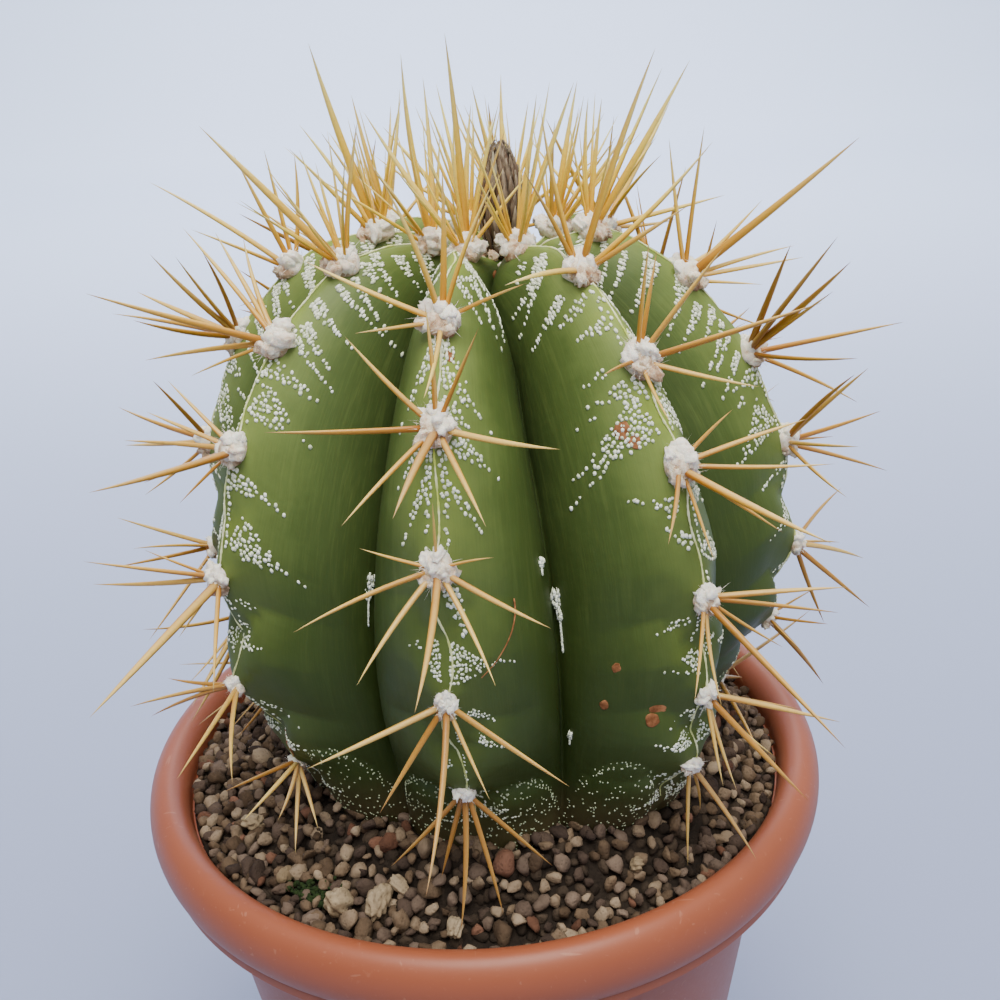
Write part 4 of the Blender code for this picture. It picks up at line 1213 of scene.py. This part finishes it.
def wool_lump(rng, step, centre, axes, dome, size):
    """(place, turn, size, tone) of one lump of a cushion; the tone is painted shade, darker on the lower
    side.
    """
    angle = TURN * (step + rng.uniform(-0.3, 0.3)) / LUMPS_ROUND
    way = dome_way(angle, math.radians(rng.uniform(8, 32) if step < LUMPS_ROUND else rng.uniform(50, 80)))
    place = centre + axes @ (way * dome * rng.uniform(0.56, 0.76))
    turn = axes @ turned_at_random(rng, 1)[0]
    sizes = rng.uniform(*LUMP_SIZES_MM) * MM * size
    # Painted shade: the tone is lower on the lower side and close to the skin.
    return place, turn, sizes, np.clip(0.62 + 0.4 * way[1] + 0.2 * way[2] + rng.uniform(-0.12, 0.12), 0.1, 1)


def wool_fibre(rng, point, axes, dome, size):
    """The three corners of a loose fibre."""
    way = dome_way(rng.uniform(0, TURN), math.radians(rng.uniform(0, 60)))
    start = point + axes @ (way * dome * 0.9)
    end = start + axes @ (way + rng.normal(0, 0.6, 3)) * rng.uniform(0.5, 1.2) * MM * size
    width = unit(np.cross(end - start, rng.normal(size=3))) * FIBRE_WIDTH_MM * MM
    return start - width, start + width, end


def crown_tuft(rng, step):
    """(place, turn, size, tone) of one of the small tufts close round the crown's middle."""
    which = step % 2
    point, _, _, out = skin_frame(step // 2, np.array(TUFT_ACROSS[which]), np.array(TUFT_ARCS[which]))
    turn = turned_at_random(rng, 1)[0]
    return point + out * 0.5 * MM, turn, rng.uniform(*TUFT_SIZES_MM) * MM, rng.uniform(0.05, 0.6)


def make_wool():
    """Torn-looking lumps of wool on every areole and round the crown, with loose fibres."""
    rng = np.random.default_rng(21)
    cores, lumps, fibres = [], [], []
    for rib in range(RIBS):
        for arc in AREOLES[rib]:
            point, up, off, right = (np.array(v) for v in areole_frame(rib, arc))
            size = cushion_size(arc)
            axes, dome = np.stack([right, up, off], -1), CUSHION_SHAPE * size
            centre = point - off * WOOL_SUNK_MM * MM
            cores.append((centre, axes, dome * WOOL_CORE))
            lumps += [wool_lump(rng, step, centre, axes, dome, size) for step in range(WOOL_LUMPS)]
            fibres += [wool_fibre(rng, point, axes, dome, size) for _ in range(FIBRES)]
    lumps += [crown_tuft(rng, step) for step in range(2 * RIBS)]
    template = ball(3)
    cores = columns(cores)
    *lumps, tones = columns(lumps)
    strands = np.array(fibres).reshape(-1, 3)
    parts = [many(template, *cores, rng, 0.05, 4), many(template, *lumps, rng, 0.12, 4.4)]
    parts.append((strands, np.arange(len(strands)).reshape(-1, 3)))
    # Painted shade: the core's tone is darker on its lower side.
    core_tone = np.clip(0.42 + 0.4 * template[0][:, 1], 0.05, 0.9)
    tone = np.concatenate([
        np.tile(core_tone, len(cores[0])), np.repeat(tones, len(core_tone)), np.full(len(strands), 0.9)
    ])
    mesh_object("areole_wool", *joined(parts), wool_material(), "cactus", tone=tone)


def make_spines():
    """Every spine: straight or a little bowed, flattened, and tapering to a sharp point."""
    rng = np.random.default_rng(31)
    steps = np.linspace(0, 1, SPINE_RINGS) ** RING_SPREAD
    taper = np.clip(1 - steps**SPINE_TAPER, POINT_THICKNESS, 1)
    foot = 1 + FOOT_BULGE * np.exp(-(((steps - FOOT_BULGE_PLACE) / FOOT_BULGE_WIDTH) ** 2))
    parts, tone, age = [], [], []
    for root, way, length, years, fineness in spines():
        root, way = np.array(root), np.array(way)
        bow = unit(np.cross(way, rng.normal(size=3))) * length * rng.uniform(0, MOST_BOW)
        start = root - way * ROOT_DEPTH
        path = start + (root + way * length * TIP_SHARE - start) * steps[:, None]
        path = path + bow * (4 * steps * (1 - steps))[:, None]
        thick = (THINNEST_SPINE_MM + SPINE_THICKENING * length / MM) * MM * fineness
        thick = thick * rng.uniform(*THICKNESS_PLAY)
        parts.append(tube(path, thick * taper * foot, SPINE_SIDES, SPINE_FLATNESS, rng.uniform(0, math.pi)))
        tone.append(rng.uniform(0, 1))
        age.append(years)
    round_spine = np.cos(np.arange(SPINE_SIDES) / SPINE_SIDES * TURN)
    points = SPINE_RINGS * SPINE_SIDES
    mesh_object(
        "spines", *joined(parts), spine_material(), "cactus",
        along=np.tile(np.repeat(steps, SPINE_SIDES), len(parts)), tone=np.repeat(tone, points),
        age=np.repeat(age, points), turned=np.tile(round_spine, SPINE_RINGS * len(parts)),
    )


def make_cork(rng):
    """Pale cork that has split the grooves: scars that are widest at the top and trail away downwards."""
    rows = []
    for rib, across, top, length, widest in SCARS:
        steps = int(length * SCAR_GRAINS_A_MM)
        for step in range(int(steps * SCAR_TRAIL)):
            share = step / steps
            aside = 0.012 * rng.uniform(-1, 1) if share < 1 else 0
            thin = (1 - share) ** 0.8 if share < 1 else 0
            width = rng.uniform(0.1, 0.2) + 0.16 * thin
            off = rng.uniform(-0.5, 0.5) * thin * widest
            rows.append((rib, across + aside, top + length * share, width, off))
    rib, across, arc, width, off = columns(rows)
    point, down, _, _ = skin_frame(rib, across, arc)
    outward = unit(np.stack([point[:, 0] - AXIS_X, point[:, 1] - AXIS_Y, np.zeros(len(point))], -1))
    frames = np.stack([np.cross(down, outward), down, outward], -1)
    sizes = np.stack([width, width * 1.6, width * 0.6], -1) * MM
    point = point + outward * 0.35 * MM + frames[:, :, 0] * (off * MM)[:, None]
    strewn(
        "groove_cork", "cactus", fleck_material(), 1, point, sizes, rng, (0.3, 1), frames, dents=0.2, pitch=4
    )


def dry_thread():
    """Points and faces of a dry thread that lies on the front rib."""
    share = np.linspace(0, 1, THREAD_STEPS)
    ribs = np.full(THREAD_STEPS, THREAD_RIB)
    point, _, _, out = skin_frame(ribs, 0.52 - 0.28 * share**1.6, THREAD_TOP + THREAD_LENGTH * share)
    lift = (0.3 + 0.9 * np.sin(math.pi * share)) * MM
    return tube(point + out * lift[:, None], (0.16 - 0.08 * share) * MM, LINE_SIDES)


def make_marks():
    """Cork in the grooves, brown cork spots on the flanks and a dry thread at the front."""
    rng = np.random.default_rng(41)
    make_cork(rng)
    rib, across, arc, radius = columns(SPOTS)
    point, down, side, out = skin_frame(rib, across, arc)
    sizes = np.stack([radius, radius * 1.15, radius * 0.12], -1) * MM
    spots = many(ball(3), point, np.stack([side, down, out], -1), sizes, rng, 0.06, 3)
    mesh_object("cork_spots", *joined([spots, dry_thread()]), spot_material(), "cactus")


def level(azimuth):
    """A level way."""
    return np.array([math.cos(azimuth), math.sin(azimuth), 0])


def revolve(profile, steps):
    """Points and faces of a turned shape. The profile runs from axis to axis."""
    profile = np.asarray(profile)
    angles = np.arange(steps) / steps * TURN
    ring = profile[1:-1]
    points = np.stack([
        ring[:, :1] * np.cos(angles), ring[:, :1] * np.sin(angles), np.repeat(ring[:, 1:], steps, axis=1)
    ], -1).reshape(-1, 3)
    ends = np.array([(0, 0, profile[0][1]), (0, 0, profile[-1][1])])
    return np.concatenate([points, ends]), closed_faces(len(ring), steps)


def pot_profile():
    """(radius, height) from the middle of the floor up the inside, over the rim and down to the foot."""
    bead_x, bead_z = RIM_RADIUS - RIM_BEAD_WIDTH / 2, MOUTH_Z + RIM_CROWN - RIM_BEAD_HEIGHT / 2
    bead = [
        (bead_x + RIM_BEAD_WIDTH / 2 * math.cos(angle), bead_z + RIM_BEAD_HEIGHT / 2 * math.sin(angle))
        for angle in np.radians(np.arange(180, -61, -6))
    ]
    lip_outer = RIM_RADIUS - RIM_LIP
    hollow_z = MOUTH_Z - RIM_BEAD_HEIGHT / 2
    return [
        (0, FLOOR_THICKNESS),
        (inner_wall_radius(FLOOR_THICKNESS) - FLOOR_FILLET, FLOOR_THICKNESS),
        (inner_wall_radius(FLOOR_THICKNESS), FLOOR_THICKNESS + FLOOR_FILLET),
        (inner_wall_radius(LIP_Z), LIP_Z),
        *bead,
        (lip_outer, LIP_Z + 1.2 * MM),
        (lip_outer, LIP_Z + 0.3 * MM),
        (lip_outer - 0.3 * MM, LIP_Z),
        (lip_outer - RIM_SKIN, LIP_Z),
        (lip_outer - RIM_SKIN, hollow_z),
        (WALL_TOP_RADIUS + 0.8 * MM, hollow_z),
        (WALL_TOP_RADIUS, LIP_Z),
        (FOOT_RADIUS + 0.14 * FOOT_CHAMFER, FOOT_CHAMFER),
        (FOOT_RADIUS - 0.3 * FOOT_CHAMFER, 0.3 * FOOT_CHAMFER),
        (FOOT_RADIUS - FOOT_CHAMFER, 0),
        (0, 0),
    ]


def drain_cutter():
    """An object of cylinders where the drain holes are."""
    bm = bmesh.new()
    for hole in range(DRAIN_HOLES):
        made = bmesh.ops.create_cone(
            bm, cap_ends=True, segments=24, radius1=DRAIN_HOLE_RADIUS, radius2=DRAIN_HOLE_RADIUS,
            depth=6 * FLOOR_THICKNESS,
        )
        place = Vector(level(TURN * (hole + FIRST_DRAIN) / DRAIN_HOLES)) * DRAIN_CIRCLE_RADIUS
        bmesh.ops.translate(bm, verts=made["verts"], vec=place)
    mesh = bpy.data.meshes.new("Drain holes")
    bm.to_mesh(mesh)
    bm.free()
    return show("drain_holes", mesh)


def make_pot():
    """The moulded pot: floor, wall and rolled rim, with drain holes."""
    verts, faces = revolve(pot_profile(), POT_STEPS)
    pot = mesh_object("pot_shell", verts, faces[:, ::-1], pot_material(), "pot")
    cutter = drain_cutter()
    cut = pot.modifiers.new("Drain holes", "BOOLEAN")
    cut.object = cutter
    cut.operation = "DIFFERENCE"
    cut.solver = "EXACT"
    graph = bpy.context.evaluated_depsgraph_get()
    mesh = bpy.data.meshes.new_from_object(pot.evaluated_get(graph))
    pot.modifiers.clear()
    pot.data = mesh
    mesh.set_sharp_from_angle(angle=SHARP_ANGLE)
    bpy.data.objects.remove(cutter)
    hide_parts("pot")


def make_soil_bed(material):
    """The heap that the grains lie on, and the filling under it down to the drain holes."""
    angles = np.arange(BED_STEPS) / BED_STEPS * TURN
    ways = np.stack([np.cos(angles), np.sin(angles)], -1)
    edge = np.array([AXIS_X, AXIS_Y]) + ways * (STEM_HOLE_RADIUS - BED_UNDER_STEM)
    wall = ways * (MOUTH_INNER_RADIUS - 2 * GAP)
    rows = []
    for share in np.linspace(0, 1, BED_RINGS):
        flat = edge + (wall - edge) * share
        rows.append(np.column_stack([flat, soil_height(flat[:, 0], flat[:, 1]) - BED_DEPTH]))
    foot = FLOOR_THICKNESS + GAP
    rows.append(np.column_stack([ways * (inner_wall_radius(LIP_Z) - GAP), np.full(BED_STEPS, LIP_Z)]))
    rows.append(np.column_stack([ways * (inner_wall_radius(foot) - 2.5 * MM), np.full(BED_STEPS, foot)]))
    verts = np.concatenate(rows + [[(AXIS_X, AXIS_Y, MOUTH_Z - 19 * MM)], [(0, 0, foot)]])
    faces = closed_faces(len(rows), BED_STEPS)[:, ::-1]
    # Painted shade: the bed takes the darker material of the grains below.
    bed = mesh_object("soil_bed", verts, faces, material, "soil", tone=np.zeros(len(verts)))
    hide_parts("soil")


def grain_places(rng, margin):
    """Jittered places of grains between the stem and the pot's wall, and a ring along the wall."""
    span = np.arange(-GRAINS_TO_MM, GRAINS_TO_MM, GRAIN_PITCH / MM) * MM
    x, y = np.meshgrid(span, span * 0.9)
    x = x + (np.arange(len(span)) % 2)[:, None] * GRAIN_PITCH / 2
    x = x.reshape(-1) + rng.uniform(-GRAIN_PLAY, GRAIN_PLAY, x.size) * GRAIN_PITCH
    y = y.reshape(-1) + rng.uniform(-GRAIN_PLAY, GRAIN_PLAY, y.size) * GRAIN_PITCH
    inside = np.hypot(x, y) < inner_wall_radius(MOUTH_Z) - margin
    keep = inside & (np.hypot(x - AXIS_X, y - AXIS_Y) > GRAINS_FROM_STEM)
    count = GRAINS_AT_WALL
    angles = (np.arange(count) + rng.uniform(-0.3, 0.3, count)) / count * TURN
    out = MOUTH_INNER_RADIUS - rng.uniform(1.3, 2.4, count) * MM
    return np.append(x[keep], out * np.cos(angles)), np.append(y[keep], out * np.sin(angles))


def over_soil(x, y, rise):
    """Places over the heap's mean height."""
    return np.stack([x, y, soil_height(x, y) + rise], -1)


def grain_sizes(rng, size, widths, heights):
    """Half the length, width and height of each grain."""
    count = len(size)
    return size[:, None] * np.stack([
        np.ones(count), rng.uniform(*widths, count), rng.uniform(*heights, count)
    ], -1)


def make_grains():
    """Pumice grit in three colours over grains below painted dark as shade, whose material it hands back."""
    rng = np.random.default_rng(51)
    x, y = grain_places(rng, 1.4 * MM)
    size = rng.choice(GRAIN_SIZES_MM, len(x), p=GRAIN_SHARES) * MM * rng.uniform(0.9, 1.15, len(x))
    size = np.minimum(size, MOUTH_INNER_RADIUS - np.hypot(x, y))
    places = over_soil(x, y, rng.uniform(-1.0, 0.75, len(x)) * MM)
    kinds = rng.choice(len(GRIT), len(x), p=[row[2] for row in GRIT])
    for number, (name, material, _, *tones) in enumerate(GRIT):
        mine = kinds == number
        sizes = grain_sizes(rng, size[mine], (0.62, 0.92), (0.5, 0.8))
        strewn(
            name, "soil", grain_material(material, *tones), 2, places[mine], sizes, rng, (0, 1),
            dents=0.08, pitch=2.6, cuts=7,
        )
    x, y = grain_places(rng, 1.6 * MM)
    places = over_soil(x, y, -rng.uniform(1.2, 2.4, len(x)) * MM)
    sizes = grain_sizes(rng, rng.uniform(1.2, 1.9, len(x)) * MM, (0.7, 0.95), (0.6, 0.85))
    # Painted shade: the grains below are coloured darker than the grit on top.
    below = grain_material("Shaded grit", (0.012, 0.008, 0.005), (0.04, 0.027, 0.017), (0.09, 0.062, 0.04))
    strewn("grit_below", "soil", below, 2, places, sizes, rng, (0, 0.8), dents=0.08, pitch=2.2, cuts=5)
    return below


def make_pale_lumps(rng):
    """A few pale porous stones that stand out."""
    material = grain_material("Pale lump", (0.1, 0.066, 0.032), (0.24, 0.175, 0.1), (0.48, 0.38, 0.245))
    azimuth, radius, size = columns(STONES)
    x, y = radius * MM * np.sin(np.radians(azimuth)), -radius * MM * np.cos(np.radians(azimuth))
    places = over_soil(x, y, 1.1 * MM)
    sizes = size[:, None] * MM * np.array([[1, 0.75, 0.62]])
    strewn("pale_lumps", "soil", material, 4, places, sizes, rng, (0.3, 0.9), dents=0.07, pitch=5.5)


def make_moss(rng):
    """A little moss at the pot's wall."""
    count = MOSS_LEAVES
    azimuth = np.radians(rng.choice(MOSS_AZIMUTHS, count) + rng.normal(0, 2, count))
    out = (MOSS_RADIUS_MM - np.abs(rng.normal(0, 1.6, count))) * MM
    x, y = out * np.sin(azimuth), -out * np.cos(azimuth)
    places = over_soil(x, y, rng.uniform(0, 0.9, count) * MM)
    sizes = rng.uniform(0.25, 0.6, (count, 3)) * MM
    strewn("moss", "soil", moss_material(), 1, places, sizes, rng, (0, 1), dents=0.1)


def girth(share):
    """The bud's radius at a share of its height: widest below the middle, pointed at the top."""
    return FLOWER_RADIUS * np.sin(math.pi * (0.2 + 0.8 * np.asarray(share))) ** 0.62


def flower_core(base):
    """The core as (points, faces, share of the way up, tone)."""
    heights = np.linspace(0, 0.94, CORE_RINGS)
    profile = [(0, 0)] + [(0.78 * float(girth(h)), h * FLOWER_HEIGHT * 0.95) for h in heights]
    verts, faces = revolve(profile + [(0, FLOWER_HEIGHT * FLOWER_TOP)], CORE_STEPS)
    return verts + base, faces[:, ::-1], verts[:, 2] / FLOWER_HEIGHT * 0.3, 0.05


def bract(rng, base, row, step):
    """A pointed bract with a keel, on the bud's side, as flower_core hands back the core."""
    steps = BRACT_STEPS
    out = level(TURN * (step + row * 0.5 + rng.uniform(-0.2, 0.2)) / BRACTS_A_ROW)
    around = np.array([-out[1], out[0], 0])
    low = 0.02 + 0.7 * row / (BRACT_ROWS - 1)
    share = low + (min(FLOWER_TOP, low + rng.uniform(0.2, 0.28)) - low) * steps
    reach = np.clip(girth(share) * (0.84 + 0.16 * steps) + 0.12 * MM, 0, FLOWER_RADIUS * 0.97)
    path = base + out * reach[:, None] + np.array([0, 0, FLOWER_HEIGHT]) * share[:, None]
    path = path + around * (steps**2 * rng.uniform(-0.4, 0.4) * MM)[:, None]
    wide = 0.45 + 0.55 * float(girth(low)) / FLOWER_RADIUS
    half = BRACT_HALF_WIDTH_MM * MM * wide * np.sin(math.pi * (0.3 + 0.69 * steps)) ** 0.9
    left = path - around * half[:, None] - out * 0.12 * MM
    right = path + around * half[:, None] - out * 0.12 * MM
    verts = np.stack([left, path + out * 0.15 * MM, right, path - out * 0.25 * MM], 1).reshape(-1, 3)
    return verts, grid_faces(len(steps), 4), np.repeat(steps, 4), rng.uniform(0, 1)


def flower_hair(rng, base):
    """A hair between the bracts, as flower_core hands back the core. None where it would stick out."""
    azimuth, share = rng.uniform(0, TURN), rng.uniform(0, 0.97) ** 0.6
    out = level(azimuth)
    start = base + out * 0.85 * float(girth(share)) + (0, 0, share * FLOWER_HEIGHT)
    way = unit(out * rng.uniform(0.05, 0.4) + np.array([0, 0, 1]) + rng.normal(0, 0.22, 3))
    end = start + way * rng.uniform(1.0, 2.4) * MM
    reach = np.hypot(end[0] - base[0], end[1] - base[1])
    if reach > FLOWER_RADIUS or end[2] > base[2] + FLOWER_HEIGHT:
        return None
    width = unit(np.cross(way, rng.normal(size=3))) * HAIR_WIDTH_MM * MM
    other = unit(np.cross(way, width)) * HAIR_WIDTH_MM * MM
    verts = np.array([start - width, start + width, start + other, end])
    return verts, np.array([[0, 1, 3], [1, 2, 3], [2, 0, 3], [0, 2, 1]]), np.array([0.3, 0.3, 0.3, 1]), 0.9


def make_flower():
    """The dried flower: overlapping pointed bracts round a core, with hairs."""
    rng = np.random.default_rng(71)
    base = np.array(CROWN_TOP) + (0, 0, GAP)
    made = [flower_core(base)]
    made += [bract(rng, base, row, step) for row in range(BRACT_ROWS) for step in range(BRACTS_A_ROW)]
    made += filter(None, [flower_hair(rng, base) for _ in range(FLOWER_HAIRS)])
    flower = mesh_object(
        "dried_bracts", *joined([row[:2] for row in made]), flower_material(), "dried_flower",
        along=np.concatenate([row[2] for row in made]),
        tone=np.concatenate([np.full(len(verts), tone) for verts, _, _, tone in made]),
    )
    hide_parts("dried_flower")


def make_stage():
    """A floor that sweeps up into a backdrop far behind."""
    bend = BACKDROP_BEND
    profile = [(FLOOR_FRONT, 0)] + [
        (BACKDROP_DISTANCE - bend + bend * math.sin(angle), bend - bend * math.cos(angle))
        for angle in np.radians(np.arange(0, 91, 6))
    ] + [(BACKDROP_DISTANCE, BACKDROP_HEIGHT)]
    verts = [(x, y, z) for x in (-FLOOR_HALF_WIDTH, FLOOR_HALF_WIDTH) for y, z in profile]
    count = len(profile)
    faces = [(step, step + count, step + count + 1, step + 1) for step in range(count - 1)]
    mesh = bpy.data.meshes.new("floor")
    mesh.from_pydata(verts, [], faces)
    mesh.materials.append(stage_material())
    mesh.shade_smooth()
    floor = show("floor", mesh)


def make_camera():
    data = bpy.data.cameras.new("Camera")
    data.lens = CAMERA_LENS
    data.clip_start = CAMERA_NEAR
    camera = show("Camera", data)
    tilt = Matrix.Rotation(math.radians(90 - CAMERA_DOWN), 4, "X")
    roll = Matrix.Rotation(math.radians(CAMERA_ROLL), 4, "Z")
    camera.matrix_world = Matrix.Translation(CAMERA_PLACE) @ (tilt @ roll)
    bpy.context.scene.camera = camera


def make_lights():
    """Soft daylight from almost overhead, weaker light from the front right and behind, a lit backdrop."""
    for name, (place, target, size, power, colour) in LIGHTS.items():
        data = bpy.data.lights.new(name, "AREA")
        data.shape = "DISK"
        data.size = size
        data.energy = power
        data.color = colour
        light = show(name, data)
        light.location = place
        light.rotation_euler = (Vector(target) - Vector(place)).to_track_quat("-Z", "Y").to_euler()


def make_sky():
    """A pale sky that is brighter overhead."""
    world = bpy.data.worlds.new("Sky")
    world.use_nodes = True
    nodes, links = world.node_tree.nodes, world.node_tree.links
    height = nodes.new("ShaderNodeSeparateXYZ")
    links.new(nodes.new("ShaderNodeTexCoord").outputs["Generated"], height.inputs["Vector"])
    ramp = nodes.new("ShaderNodeValToRGB")
    ramp.color_ramp.elements[0].color = SKY_LOW
    ramp.color_ramp.elements[1].color = SKY_HIGH
    links.new(height.outputs["Z"], ramp.inputs["Fac"])
    links.new(ramp.outputs["Color"], nodes["Background"].inputs["Color"])
    nodes["Background"].inputs["Strength"].default_value = 1.0
    bpy.context.scene.world = world


make_skin()
make_flecks()
make_crest_lines()
make_wool()
make_spines()
make_marks()
make_flower()
make_pot()
make_soil_bed(make_grains())
stones_rng = np.random.default_rng(61)
make_pale_lumps(stones_rng)
make_moss(stones_rng)
make_stage()
make_camera()
make_lights()
make_sky()
